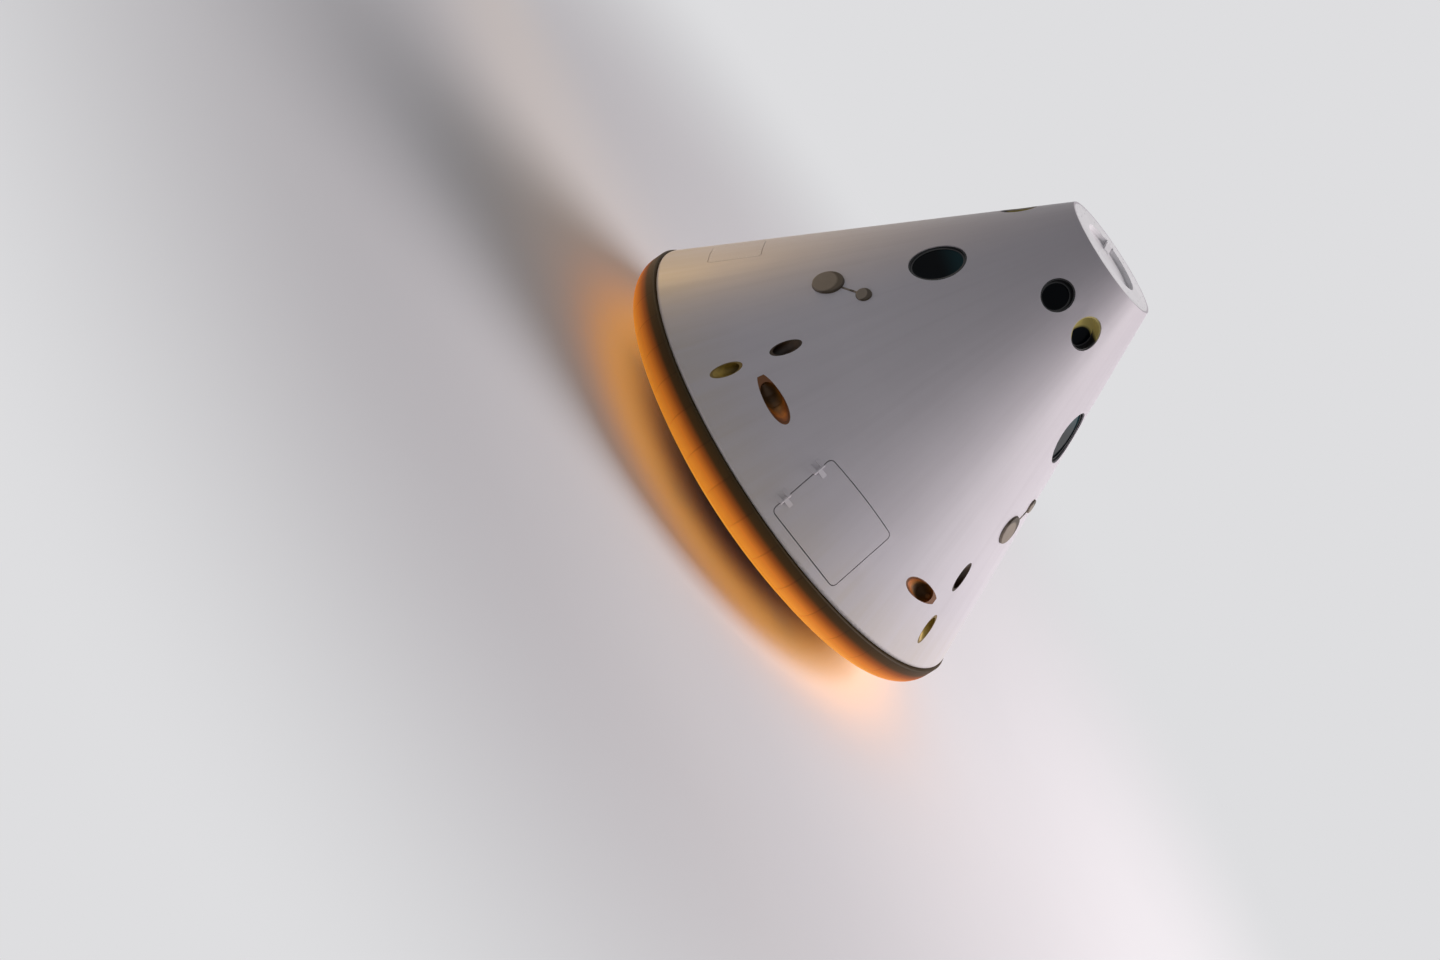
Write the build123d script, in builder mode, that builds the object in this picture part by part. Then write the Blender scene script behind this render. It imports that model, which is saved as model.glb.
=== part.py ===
from build123d import *
import os
from collections import namedtuple
from math import asin, atan, cos, degrees, radians, sin, sqrt, tan

# A conical re-entry capsule that stands on its heat shield, in millimetres.
# Z runs up the axis to the nose, from the lowest point of the dish. The side hatch faces -Y.
# A bearing is an angle in degrees round the axis from the side hatch, positive towards +X.
# A height is measured up the axis from the base plane, where the white cone meets the rim band.
# What belongs to the nose end of the cone has its place measured down from the docking face.
# A depth is measured from the skin of the cone along its normal, inwards.

os.makedirs("parts", exist_ok=True)

# Cone
BASE_RADIUS = 2000.0
NOSE_RADIUS = 520.0
CONE_HEIGHT = 2970.0
WALL = 150.0
BASE_EDGE_FILLET = 25.0

# Heat shield and rim band
SHIELD_PROUD = 10.0
DISH_RADIUS = 5500.0
SHOULDER_RADIUS = 225.0
SHIELD_WALL = 90.0
BAND_HEIGHT = 87.0
BAND_WIDTH = 160.0
BAND_CHAMFER = 6.0

# Separation pads in the dish
PAD_COUNT = 6
PAD_CIRCLE_RADIUS = 1400.0
PAD_RADIUS = 95.0
PAD_DEPTH = 40.0
PAD_BOLT_RADIUS = 16.0

# Cabin floor
FLOOR_THICKNESS = 60.0

# Nose ring, its recess and bolt holes, tunnel and forward deck
NOSE_LIP = 20.0
NOSE_RING_HEIGHT = 120.0
RECESS_RADIUS = 305.0
RECESS_DEPTH = 40.0
SEAT_WIDTH = 40.0
DOCK_BOLT_CIRCLE_RADIUS = 410.0
DOCK_BOLT_COUNT = 12
DOCK_BOLT_RADIUS = 7.0
DOCK_BOLT_DEPTH = 45.0
TUNNEL_WALL = 25.0
TUNNEL_LENGTH = 530.0
TUNNEL_FLANGE_WIDTH = 55.0
TUNNEL_FLANGE_THICKNESS = 14.0
DECK_THICKNESS = 25.0

# Frames inside the cabin: rings and longerons, each a web with a flange on its inner edge
RING_DROPS = (2290.0, 1550.0, 800.0)
RING_DEPTH = 44.0
RING_WEB = 14.0
RING_FLANGE_HEIGHT = 48.0
RING_FLANGE_THICKNESS = 9.0
LONGERON_BEARINGS = (-30.0, 30.0, 90.0)
LONGERON_DEPTH = 31.0
LONGERON_WEB = 12.0
LONGERON_FLANGE_WIDTH = 44.0
LONGERON_FLANGE_THICKNESS = 8.0

# Forward hatch and its hinge
LID_THICKNESS = 50.0
LID_GAP = 8.0
LID_SEAT_GAP = 0.5
LID_EDGE_TAPER = 12.0
LID_AXIS_BEYOND_RECESS = 40.0
LID_AXIS_BELOW_FACE = 10.0
LID_KNUCKLE_RADIUS = 12.0
LID_PIN_RADIUS = 6.0
LID_ARM_WIDTH = 60.0
LID_ARM_REACH = 100.0
LID_ARM_THICKNESS = 8.0
LID_EAR_WIDTH = 25.0
LID_POCKET_ROOM = 7.0

# Ribs and hand wheel under the forward hatch
LID_RIB_COUNT = 6
LID_RIB_DEPTH = 18.0
LID_RIB_WIDTH = 14.0
LID_HUB_RADIUS = 60.0
LID_RIM_ROOM = 30.0
LID_RIM_WIDTH = 22.0
WHEEL_RADIUS = 105.0
WHEEL_TUBE_RADIUS = 9.0
WHEEL_HUB_RADIUS = 26.0
WHEEL_DROP = 52.0
WHEEL_SPOKES = 3
WHEEL_SPOKE_RADIUS = 7.0

# Side hatch
HATCH_HEIGHT = 380.0
HATCH_WIDTH = 768.0
HATCH_LENGTH = 595.0
HATCH_CORNER = 38.0
HATCH_GAP = 8.0
HATCH_TAPER = 10.0
HATCH_FRAME_WIDTH = 60.0
HATCH_FRAME_DEPTH = 30.0
HATCH_RIM_INSET = 10.0
HATCH_RIM_WIDTH = 35.0
HATCH_RIM_DEPTH = 20.0
HATCH_RIM_CORNER = 30.0

# Side hatch hinges, a pair on the hatch's -X side
HINGE_PROUD = 16.0
HINGE_KNUCKLE_RADIUS = 11.0
HINGE_PIN_RADIUS = 5.0
HINGE_SPREAD = 340.0
HINGE_EAR = 30.0
HINGE_BARREL = 40.0
HINGE_LEAF = 70.0
HINGE_LEAF_DEPTH = 20.0
HINGE_LEAF_PROUD = 3.0
HINGE_EDGE_ROOM = 1.0

# Clearances of every hinge
PIN_CLEARANCE = 0.08
KNUCKLE_END_GAP = 1.0

# Side hatch latch, on the inner face
LATCH_PLATE_RADIUS = 90.0
LATCH_PLATE_THICKNESS = 18.0
LATCH_HUB_RADIUS = 32.0
LATCH_HUB_HEIGHT = 55.0
LATCH_BAR_LENGTH = 220.0
LATCH_BAR_RADIUS = 11.0
LATCH_BOLT_RADIUS = 9.0
LATCH_BOLT_SPREAD = 110.0
LATCH_BOLT_LIFT = 14.0
LATCH_BOLT_START = 60.0
LATCH_BOLT_END_ROOM = 3.0

# Large oval windows
WINDOW_DROP = 1025.0
WINDOW_BEARINGS = (-60.0, 60.0, 180.0)
WINDOW_LENGTH = 460.0
WINDOW_WIDTH = 360.0
WINDOW_SINK = 30.0
WINDOW_PANE = 25.0

# Small oval ports, in pairs
PORT_DROP = 393.0
PORT_PAIR_BEARINGS = (0.0, 120.0, 240.0)
PORT_HALF_SPREAD = 15.6
PORT_LENGTH = 286.0
PORT_WIDTH = 257.0
PORT_SINK = 85.0
PORT_PANE = 20.0

# Lining of a window or port, from just under the skin to the cabin
LINER_WALL = 12.0
LINER_SET_BACK = 10.0

# Thruster pods: an aft and a fore nozzle on one bearing, and a yaw nozzle beside them
POD_BEARING = 45.6
YAW_BEARING = 32.7
AFT_NOZZLE_HEIGHT = 305.0
FORE_NOZZLE_HEIGHT = 741.0
YAW_NOZZLE_HEIGHT = 505.0
NOZZLE_RADIUS = 50.0
NOZZLE_CANT = 65.0
YAW_NOZZLE_RADIUS = 68.0
YAW_NOZZLE_CANT = 70.0
NOZZLE_LENGTH = 200.0
NOZZLE_WALL = 6.0
THROAT_SHARE = 0.28
THROAT_DEPTH = 180.0
BELL_WAIST_SHARE = 0.88
BELL_WAIST_DEPTH = 100.0
YAW_NOZZLE_LENGTH = 235.0
YAW_THROAT_DEPTH = 220.0
YAW_BELL_WAIST_DEPTH = 165.0

# Antenna covers: a large and a small low dome joined by a strip, three sets round the cone
ANTENNA_SETS = 3
ANTENNA_BEARING = -63.8
ANTENNA_DROP = 1786.0
ANTENNA_LENGTH = 248.0
ANTENNA_WIDTH = 230.0
ANTENNA_PROUD = 20.0
SMALL_ANTENNA_BEARING = -54.5
SMALL_ANTENNA_DROP = 1586.0
SMALL_ANTENNA_LENGTH = 122.0
SMALL_ANTENNA_WIDTH = 118.0
SMALL_ANTENNA_PROUD = 16.0
ANTENNA_EDGE_FILLET = 9.0
STRIP_WIDTH = 14.0
STRIP_PROUD = 5.0

# Service panel
PANEL_BEARING = -94.0
PANEL_HEIGHT = 575.0
PANEL_WIDTH = 430.0
PANEL_LENGTH = 425.0
PANEL_CORNER = 30.0
PANEL_THICKNESS = 14.0
PANEL_GAP = 4.0

# How far a cutting tool starts outside the skin
OVERSHOOT = 40.0

# Sizes that follow from those above
SLOPE = (BASE_RADIUS - NOSE_RADIUS) / CONE_HEIGHT
LEAN = atan(SLOPE)
SHIELD_RADIUS = BASE_RADIUS + SHIELD_PROUD
SHOULDER_X = SHIELD_RADIUS - SHOULDER_RADIUS
BAND_Z = DISH_RADIUS - sqrt((DISH_RADIUS - SHOULDER_RADIUS) ** 2 - SHOULDER_X**2)
BASE_Z = BAND_Z + BAND_HEIGHT
NOSE_Z = BASE_Z + CONE_HEIGHT
BAND_INNER_RADIUS = SHIELD_RADIUS - BAND_WIDTH
RING_Z = NOSE_Z - NOSE_RING_HEIGHT
DECK_Z = RING_Z - TUNNEL_LENGTH
TUNNEL_RADIUS = RECESS_RADIUS - SEAT_WIDTH
RING_RADIUS = NOSE_RADIUS - NOSE_LIP
SEAT_Z = NOSE_Z - RECESS_DEPTH - LID_THICKNESS - LID_SEAT_GAP
DECK_HEIGHT = DECK_Z - BASE_Z
WINDOW_HEIGHT = CONE_HEIGHT - WINDOW_DROP
PORT_HEIGHT = CONE_HEIGHT - PORT_DROP
ANTENNA_HEIGHT = CONE_HEIGHT - ANTENNA_DROP
SMALL_ANTENNA_HEIGHT = CONE_HEIGHT - SMALL_ANTENNA_DROP


def skin_radius(height, depth=0.0):
    """Radius of the cone at a height, or of the same cone sunk by a depth."""
    return BASE_RADIUS - height * SLOPE - depth / cos(LEAN)


def skin_plane(bearing, height):
    """Plane on the skin: x round the cone towards +bearing, y up the slope, z outwards."""
    angle = radians(bearing)
    radius = skin_radius(height)
    around = Vector(cos(angle), sin(angle), 0)
    outwards = Vector(sin(angle) * cos(LEAN), -cos(angle) * cos(LEAN), sin(LEAN))
    centre = Vector(radius * sin(angle), -radius * cos(angle), BASE_Z + height)
    return Plane(origin=centre, x_dir=around, z_dir=outwards)


def canted_plane(base, cant, towards):
    """A skin plane whose z is turned by an angle towards a direction in the skin."""
    outwards = base.z_dir * cos(radians(cant)) + towards * sin(radians(cant))
    return Plane(origin=base.origin, x_dir=towards.cross(base.z_dir), z_dir=outwards)


def cone_layer(outer_depth, inner_depth, low=0.0, high=CONE_HEIGHT):
    """The layer of the cone between two depths, from one height to another."""
    with BuildPart(mode=Mode.PRIVATE) as layer:
        with BuildSketch(Plane.XZ):
            with BuildLine():
                Polyline(
                    (skin_radius(low, outer_depth), BASE_Z + low),
                    (skin_radius(high, outer_depth), BASE_Z + high),
                    (skin_radius(high, inner_depth), BASE_Z + high),
                    (skin_radius(low, inner_depth), BASE_Z + low),
                    close=True,
                )
            make_face()
        revolve(axis=Axis.Z)
    return layer.part


def oval_block(plane, length, width, near, far):
    """An oval block along a skin plane's normal, between two depths."""
    with BuildPart(mode=Mode.PRIVATE) as block:
        with BuildSketch(plane.offset(-near)):
            Ellipse(width / 2, length / 2)
        extrude(amount=-(far - near))
    return block.part


def save(builder, name):
    """Label a finished piece and write its file."""
    builder.part.label = name
    export_step(builder.part, f"parts/{name}.step")


# Heat shield: the dish and its shoulder are two tangent arcs, hollow behind

SHOULDER_ANGLE = asin(SHOULDER_X / (DISH_RADIUS - SHOULDER_RADIUS))


def dish_point(angle, depth=0.0):
    """A point of the dish at an angle from its lowest point, sunk by a depth."""
    radius = DISH_RADIUS - depth
    return (radius * sin(angle), DISH_RADIUS - radius * cos(angle))


def shoulder_point(angle, depth=0.0):
    """A point of the shoulder at an angle up from straight down, sunk by a depth."""
    radius = SHOULDER_RADIUS - depth
    return (SHOULDER_X + radius * sin(angle), BAND_Z - radius * cos(angle))


def dish_layer(outer_depth, inner_depth):
    """The layer of the heat shield between two depths."""
    level = radians(90)
    half_up = (SHOULDER_ANGLE + level) / 2
    half_out = SHOULDER_ANGLE / 2
    with BuildPart(mode=Mode.PRIVATE) as layer:
        with BuildSketch(Plane.XZ):
            with BuildLine():
                for depth in (outer_depth, inner_depth):
                    ThreePointArc(
                        dish_point(0, depth),
                        dish_point(half_out, depth),
                        dish_point(SHOULDER_ANGLE, depth),
                    )
                    ThreePointArc(
                        shoulder_point(SHOULDER_ANGLE, depth),
                        shoulder_point(half_up, depth),
                        shoulder_point(level, depth),
                    )
                Line(shoulder_point(level, outer_depth), shoulder_point(level, inner_depth))
                Line(dish_point(0, outer_depth), dish_point(0, inner_depth))
            make_face()
        revolve(axis=Axis.Z)
    return layer.part


with BuildPart() as separation_pads:
    with PolarLocations(PAD_CIRCLE_RADIUS, PAD_COUNT):
        Cylinder(PAD_RADIUS, 2 * BAND_Z)
    add(dish_layer(0, PAD_DEPTH), mode=Mode.INTERSECT)
    pad_blocks = separation_pads.part
    with PolarLocations(PAD_CIRCLE_RADIUS, PAD_COUNT):
        Cylinder(PAD_BOLT_RADIUS, 2 * BAND_Z, mode=Mode.SUBTRACT)

with BuildPart() as heat_shield:
    add(dish_layer(0, SHIELD_WALL))
    add(pad_blocks, mode=Mode.SUBTRACT)
    with PolarLocations(PAD_CIRCLE_RADIUS, PAD_COUNT):
        Cylinder(PAD_BOLT_RADIUS, 2 * BAND_Z, mode=Mode.SUBTRACT)

save(separation_pads, "separation_pads")
save(heat_shield, "heat_shield")


# Rim band between the heat shield and the cone

with BuildPart() as closeout_ring:
    with BuildSketch(Plane.XZ):
        with Locations((SHIELD_RADIUS, BAND_Z)):
            Rectangle(BAND_WIDTH, BAND_HEIGHT, align=(Align.MAX, Align.MIN))
    revolve(axis=Axis.Z)
    upper_rims = closeout_ring.edges().group_by(Axis.Z)[-1]
    chamfer(upper_rims.sort_by(SortBy.RADIUS)[-1], BAND_CHAMFER)

save(closeout_ring, "closeout_ring")


# Cabin floor, set inside the rim band

with BuildPart() as cabin_floor:
    with Locations((0, 0, BASE_Z)):
        Cylinder(
            BAND_INNER_RADIUS,
            FLOOR_THICKNESS,
            align=(Align.CENTER, Align.CENTER, Align.MAX),
        )

save(cabin_floor, "cabin_floor")


# Side hatch opening: a block that narrows inwards, square to the skin at the hatch's centre

HATCH_PLANE = skin_plane(0, HATCH_HEIGHT)
HATCH_CURVE = skin_radius(HATCH_HEIGHT) / cos(LEAN)
HATCH_BULGE = HATCH_CURVE - sqrt(HATCH_CURVE**2 - (HATCH_WIDTH / 2) ** 2)


def hatch_block(grow, near=-OVERSHOOT, far=WALL + HATCH_BULGE + OVERSHOOT):
    """The hatch's outline as a tapered block between two depths, grown on every side."""
    spread = grow + (HATCH_BULGE - near) * tan(radians(HATCH_TAPER))
    with BuildPart(mode=Mode.PRIVATE) as block:
        with BuildSketch(HATCH_PLANE.offset(-near)):
            RectangleRounded(
                HATCH_WIDTH + 2 * spread,
                HATCH_LENGTH + 2 * spread,
                HATCH_CORNER + spread,
            )
        extrude(amount=-(far - near), taper=HATCH_TAPER)
    return block.part


# Side hatch hinge: its pin lies along the slope, over the gap at the hatch's -X side

HINGE_EDGE = (HATCH_WIDTH + HATCH_GAP) / 2
HINGE_TILT = degrees(asin(HINGE_EDGE / HATCH_CURVE))
HINGE_PLANE = Plane(
    origin=HATCH_PLANE.from_local_coords(Vector(-HINGE_EDGE, 0, HINGE_PROUD - HATCH_BULGE)),
    x_dir=HATCH_PLANE.x_dir.rotate(Axis((0, 0, 0), HATCH_PLANE.y_dir), -HINGE_TILT),
    z_dir=HATCH_PLANE.z_dir.rotate(Axis((0, 0, 0), HATCH_PLANE.y_dir), -HINGE_TILT),
)
HINGE_CENTRES = (-HINGE_SPREAD / 2, HINGE_SPREAD / 2)
EAR_START = HINGE_BARREL / 2 + KNUCKLE_END_GAP
EAR_END = EAR_START + HINGE_EAR


def hinge_knuckle(side, start, end):
    """A knuckle and its leaf on one side of the pin, between two places along it."""
    section = Plane(
        origin=HINGE_PLANE.from_local_coords(Vector(0, start, 0)),
        x_dir=HINGE_PLANE.x_dir,
        z_dir=HINGE_PLANE.y_dir,
    )
    edge = side * (HATCH_GAP / 2 - HINGE_EDGE_ROOM)
    tip = side * HINGE_LEAF
    with BuildPart(mode=Mode.PRIVATE) as knuckle:
        with BuildSketch(section):
            with BuildLine():
                Polyline(
                    (0, 0),
                    (0, -HINGE_KNUCKLE_RADIUS),
                    (tip, HINGE_PROUD - HINGE_LEAF_PROUD),
                    (tip, HINGE_PROUD + HINGE_LEAF_DEPTH),
                    (edge, HINGE_PROUD + HINGE_LEAF_DEPTH),
                    (edge, 0),
                    close=True,
                )
            make_face()
            Circle(HINGE_KNUCKLE_RADIUS)
        extrude(amount=end - start)
    return knuckle.part


def hinge_pin(radius):
    """The pins of both hinges, as long as the hinges are."""
    with BuildPart(mode=Mode.PRIVATE) as pin:
        for centre in HINGE_CENTRES:
            start = HINGE_PLANE.from_local_coords(Vector(0, centre - EAR_END, 0))
            with BuildSketch(Plane(origin=start, z_dir=HINGE_PLANE.y_dir)):
                Circle(radius)
            extrude(amount=2 * EAR_END)
    return pin.part


with BuildPart() as side_hatch_hinge:
    for centre in HINGE_CENTRES:
        add(hinge_knuckle(-1, centre - EAR_END, centre - EAR_START))
        add(hinge_knuckle(-1, centre + EAR_START, centre + EAR_END))
    add(hinge_pin(HINGE_PIN_RADIUS))

with BuildPart() as side_hatch_hinge_leaf:
    for centre in HINGE_CENTRES:
        add(hinge_knuckle(1, centre - HINGE_BARREL / 2, centre + HINGE_BARREL / 2))
    add(hinge_pin(HINGE_PIN_RADIUS + PIN_CLEARANCE), mode=Mode.SUBTRACT)

save(side_hatch_hinge, "side_hatch_hinge")
save(side_hatch_hinge_leaf, "side_hatch_hinge_leaf")


# Side hatch latch: a plate on the inner face, a hub and a cross bar to turn by hand, and four
# bolts that run from the plate through the hatch's inner rim to its upper and lower edges

HATCH_INNER_WIDTH = HATCH_WIDTH - 2 * WALL * tan(radians(HATCH_TAPER))
HATCH_INNER_LENGTH = HATCH_LENGTH - 2 * WALL * tan(radians(HATCH_TAPER))

with BuildPart() as side_hatch_latch:
    with BuildSketch(HATCH_PLANE.offset(LATCH_PLATE_THICKNESS - WALL)):
        Circle(LATCH_PLATE_RADIUS)
    extrude(amount=-2 * LATCH_PLATE_THICKNESS)
    add(cone_layer(0, WALL), mode=Mode.SUBTRACT)
    with BuildSketch(HATCH_PLANE.offset(-WALL - LATCH_PLATE_THICKNESS)):
        Circle(LATCH_HUB_RADIUS)
    extrude(amount=-LATCH_HUB_HEIGHT)
    bar_depth = WALL + LATCH_PLATE_THICKNESS + LATCH_HUB_HEIGHT - LATCH_BAR_RADIUS
    bar_start = HATCH_PLANE.from_local_coords(Vector(-LATCH_BAR_LENGTH / 2, 0, -bar_depth))
    with BuildSketch(Plane(origin=bar_start, z_dir=HATCH_PLANE.x_dir)):
        Circle(LATCH_BAR_RADIUS)
    extrude(amount=LATCH_BAR_LENGTH)
    for up in (-1, 1):
        bolt_start = HATCH_PLANE.from_local_coords(
            Vector(0, up * LATCH_BOLT_START, -WALL - LATCH_BOLT_LIFT)
        )
        with BuildSketch(
            Plane(origin=bolt_start, x_dir=HATCH_PLANE.x_dir, z_dir=up * HATCH_PLANE.y_dir)
        ):
            with GridLocations(LATCH_BOLT_SPREAD, 0, 2, 1):
                Circle(LATCH_BOLT_RADIUS)
        extrude(amount=HATCH_INNER_LENGTH / 2 - LATCH_BOLT_END_ROOM - LATCH_BOLT_START)

save(side_hatch_latch, "side_hatch_latch")


# Side hatch: a plug of the wall's own thickness, with a raised rim on its inner face


def hatch_rim_block(inset):
    """The outline of the hatch's inner face, moved in on every side, as a straight block."""
    with BuildPart(mode=Mode.PRIVATE) as block:
        with BuildSketch(HATCH_PLANE.offset(OVERSHOOT - WALL)):
            RectangleRounded(
                HATCH_INNER_WIDTH - 2 * inset, HATCH_INNER_LENGTH - 2 * inset, HATCH_RIM_CORNER
            )
        extrude(amount=-2 * OVERSHOOT - HATCH_BULGE - HATCH_RIM_DEPTH)
    return block.part


with BuildPart() as hatch_rim:
    add(cone_layer(WALL, WALL + HATCH_RIM_DEPTH))
    add(hatch_rim_block(HATCH_RIM_INSET), mode=Mode.INTERSECT)
    add(hatch_rim_block(HATCH_RIM_INSET + HATCH_RIM_WIDTH), mode=Mode.SUBTRACT)
    add(side_hatch_latch.part, mode=Mode.SUBTRACT)

with BuildPart() as side_hatch:
    add(cone_layer(0, WALL))
    add(hatch_block(0), mode=Mode.INTERSECT)
    add(side_hatch_hinge_leaf.part, mode=Mode.SUBTRACT)
    add(hatch_rim.part)

save(side_hatch, "side_hatch")


# Frame round the side hatch opening, on the inner face of the wall

with BuildPart() as side_hatch_frame:
    add(cone_layer(WALL, WALL + HATCH_FRAME_DEPTH))
    add(hatch_block(HATCH_GAP + HATCH_FRAME_WIDTH), mode=Mode.INTERSECT)
    add(hatch_block(HATCH_GAP), mode=Mode.SUBTRACT)

save(side_hatch_frame, "side_hatch_frame")


# Service panel, let into the skin

PANEL_PLANE = skin_plane(PANEL_BEARING, PANEL_HEIGHT)


def panel_block(grow):
    """The service panel's outline through the skin, grown on every side."""
    with BuildPart(mode=Mode.PRIVATE) as block:
        with BuildSketch(PANEL_PLANE.offset(OVERSHOOT)):
            RectangleRounded(
                PANEL_WIDTH + 2 * grow, PANEL_LENGTH + 2 * grow, PANEL_CORNER + grow
            )
        extrude(amount=-3 * OVERSHOOT)
        add(cone_layer(0, PANEL_THICKNESS), mode=Mode.INTERSECT)
    return block.part


with BuildPart() as service_panel:
    add(panel_block(0))

save(service_panel, "service_panel")


# Thruster nozzles: a bell in a plain can, trimmed to the skin where it leaves at a cant

NozzleSize = namedtuple("NozzleSize", "radius cant length throat_depth waist_depth")

SLOPE_NOZZLE = NozzleSize(
    NOZZLE_RADIUS, NOZZLE_CANT, NOZZLE_LENGTH, THROAT_DEPTH, BELL_WAIST_DEPTH
)
YAW_NOZZLE = NozzleSize(
    YAW_NOZZLE_RADIUS, YAW_NOZZLE_CANT, YAW_NOZZLE_LENGTH, YAW_THROAT_DEPTH, YAW_BELL_WAIST_DEPTH
)


def nozzle_can(plane, size):
    """The plain outside of a nozzle, run out past the skin."""
    outer_radius = size.radius + NOZZLE_WALL
    with BuildPart(mode=Mode.PRIVATE) as can:
        with BuildSketch(plane.offset(-size.length)):
            Circle(outer_radius)
        extrude(amount=size.length + outer_radius * tan(radians(size.cant)) + OVERSHOOT)
    return can.part


def nozzle_bell(plane, size):
    """The hollow of a nozzle: a straight mouth, a bell and a narrow throat."""
    mouth = (size.radius + NOZZLE_WALL) * tan(radians(size.cant)) + 2 * OVERSHOOT
    throat_radius = THROAT_SHARE * size.radius
    section = Plane(origin=plane.origin, x_dir=plane.x_dir, z_dir=plane.z_dir.cross(plane.x_dir))
    with BuildPart(mode=Mode.PRIVATE) as bell:
        with BuildSketch(section):
            with BuildLine():
                Polyline(
                    (0, size.throat_depth), (0, -mouth), (size.radius, -mouth), (size.radius, 0)
                )
                ThreePointArc(
                    (size.radius, 0),
                    (BELL_WAIST_SHARE * size.radius, size.waist_depth),
                    (throat_radius, size.throat_depth),
                )
                Line((throat_radius, size.throat_depth), (0, size.throat_depth))
            make_face()
        revolve(axis=Axis(plane.origin, plane.z_dir))
    return bell.part


def pod_nozzles(front, side):
    """Plane and sizes of a pod's three nozzles, for a pod at the front or the back."""
    pod = side * (POD_BEARING if front else 180 - POD_BEARING)
    yaw = side * (YAW_BEARING if front else 180 - YAW_BEARING)
    aft_plane = skin_plane(pod, AFT_NOZZLE_HEIGHT)
    fore_plane = skin_plane(pod, FORE_NOZZLE_HEIGHT)
    yaw_plane = skin_plane(yaw, YAW_NOZZLE_HEIGHT)
    away = yaw_plane.x_dir if yaw > pod else -yaw_plane.x_dir
    return (
        (canted_plane(aft_plane, NOZZLE_CANT, -aft_plane.y_dir), SLOPE_NOZZLE),
        (canted_plane(fore_plane, NOZZLE_CANT, fore_plane.y_dir), SLOPE_NOZZLE),
        (canted_plane(yaw_plane, YAW_NOZZLE_CANT, away), YAW_NOZZLE),
    )


PODS = [pod_nozzles(front, side) for front in (True, False) for side in (-1, 1)]

for number, nozzles in enumerate(PODS, start=1):
    with BuildPart() as thruster_pod:
        for nozzle in nozzles:
            add(nozzle_can(*nozzle))
        add(cone_layer(0, WALL), mode=Mode.INTERSECT)
        for nozzle in nozzles:
            add(nozzle_bell(*nozzle), mode=Mode.SUBTRACT)
    save(thruster_pod, f"thruster_pod_{number}")


# Windows and ports: a lining and a pane in an oval hole square to the skin

WINDOW_SIZES = (WINDOW_LENGTH, WINDOW_WIDTH, WINDOW_SINK, WINDOW_PANE)
PORT_SIZES = (PORT_LENGTH, PORT_WIDTH, PORT_SINK, PORT_PANE)
WINDOWS = [(skin_plane(bearing, WINDOW_HEIGHT), *WINDOW_SIZES) for bearing in WINDOW_BEARINGS]
PORTS = [
    (skin_plane(bearing + side * PORT_HALF_SPREAD, PORT_HEIGHT), *PORT_SIZES)
    for bearing in PORT_PAIR_BEARINGS
    for side in (-1, 1)
]


def oval_opening(plane, length, width):
    """The hole of a window or port, right through the wall."""
    return oval_block(plane, length, width, -OVERSHOOT, WALL + OVERSHOOT)


def save_glazing(opening, liner_name, pane_name):
    """Make and save the lining and the pane of one window or port."""
    plane, length, width, sink, pane_thickness = opening
    clear_length = length - 2 * LINER_WALL
    clear_width = width - 2 * LINER_WALL
    with BuildPart() as liner:
        add(oval_opening(plane, length, width))
        add(oval_opening(plane, clear_length, clear_width), mode=Mode.SUBTRACT)
        add(cone_layer(LINER_SET_BACK, WALL), mode=Mode.INTERSECT)
    with BuildPart() as pane:
        add(oval_block(plane, clear_length, clear_width, sink, sink + pane_thickness))
    save(liner, liner_name)
    save(pane, pane_name)


for number, window in enumerate(WINDOWS, start=1):
    save_glazing(window, f"window_frame_{number}", f"window_pane_{number}")

for number, port in enumerate(PORTS, start=1):
    save_glazing(port, f"port_liner_{number}", f"port_pane_{number}")


# Antenna covers, seated on the skin


def cover_block(plane, length, width, proud):
    """A low oval dome on the skin, before it is fitted to the skin."""
    with BuildPart(mode=Mode.PRIVATE) as dome:
        with BuildSketch(plane.offset(-OVERSHOOT)):
            Ellipse(width / 2, length / 2)
        extrude(amount=OVERSHOOT + proud)
        top_face = dome.faces().sort_by(Axis(plane.origin, plane.z_dir))[-1]
        fillet(top_face.edges(), ANTENNA_EDGE_FILLET)
    return dome.part


for number in range(1, ANTENNA_SETS + 1):
    turn = (number - 1) * 360 / ANTENNA_SETS
    large_plane = skin_plane(ANTENNA_BEARING + turn, ANTENNA_HEIGHT)
    small_plane = skin_plane(SMALL_ANTENNA_BEARING + turn, SMALL_ANTENNA_HEIGHT)
    middle_plane = skin_plane(
        (ANTENNA_BEARING + SMALL_ANTENNA_BEARING) / 2 + turn,
        (ANTENNA_HEIGHT + SMALL_ANTENNA_HEIGHT) / 2,
    )
    strip_vector = small_plane.origin - large_plane.origin
    strip_plane = Plane(
        origin=middle_plane.origin, x_dir=strip_vector, z_dir=middle_plane.z_dir
    )
    with BuildPart() as antenna_cover:
        add(cover_block(large_plane, ANTENNA_LENGTH, ANTENNA_WIDTH, ANTENNA_PROUD))
        add(
            cover_block(
                small_plane, SMALL_ANTENNA_LENGTH, SMALL_ANTENNA_WIDTH, SMALL_ANTENNA_PROUD
            )
        )
        with BuildSketch(strip_plane.offset(-OVERSHOOT)):
            Rectangle(strip_vector.length, STRIP_WIDTH)
        extrude(amount=OVERSHOOT + STRIP_PROUD)
        add(cone_layer(0, WALL), mode=Mode.SUBTRACT)
    save(antenna_cover, f"antenna_cover_{number}")


# Forward hatch hinge: its pin lies across the nose ring on the side away from the side hatch

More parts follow.
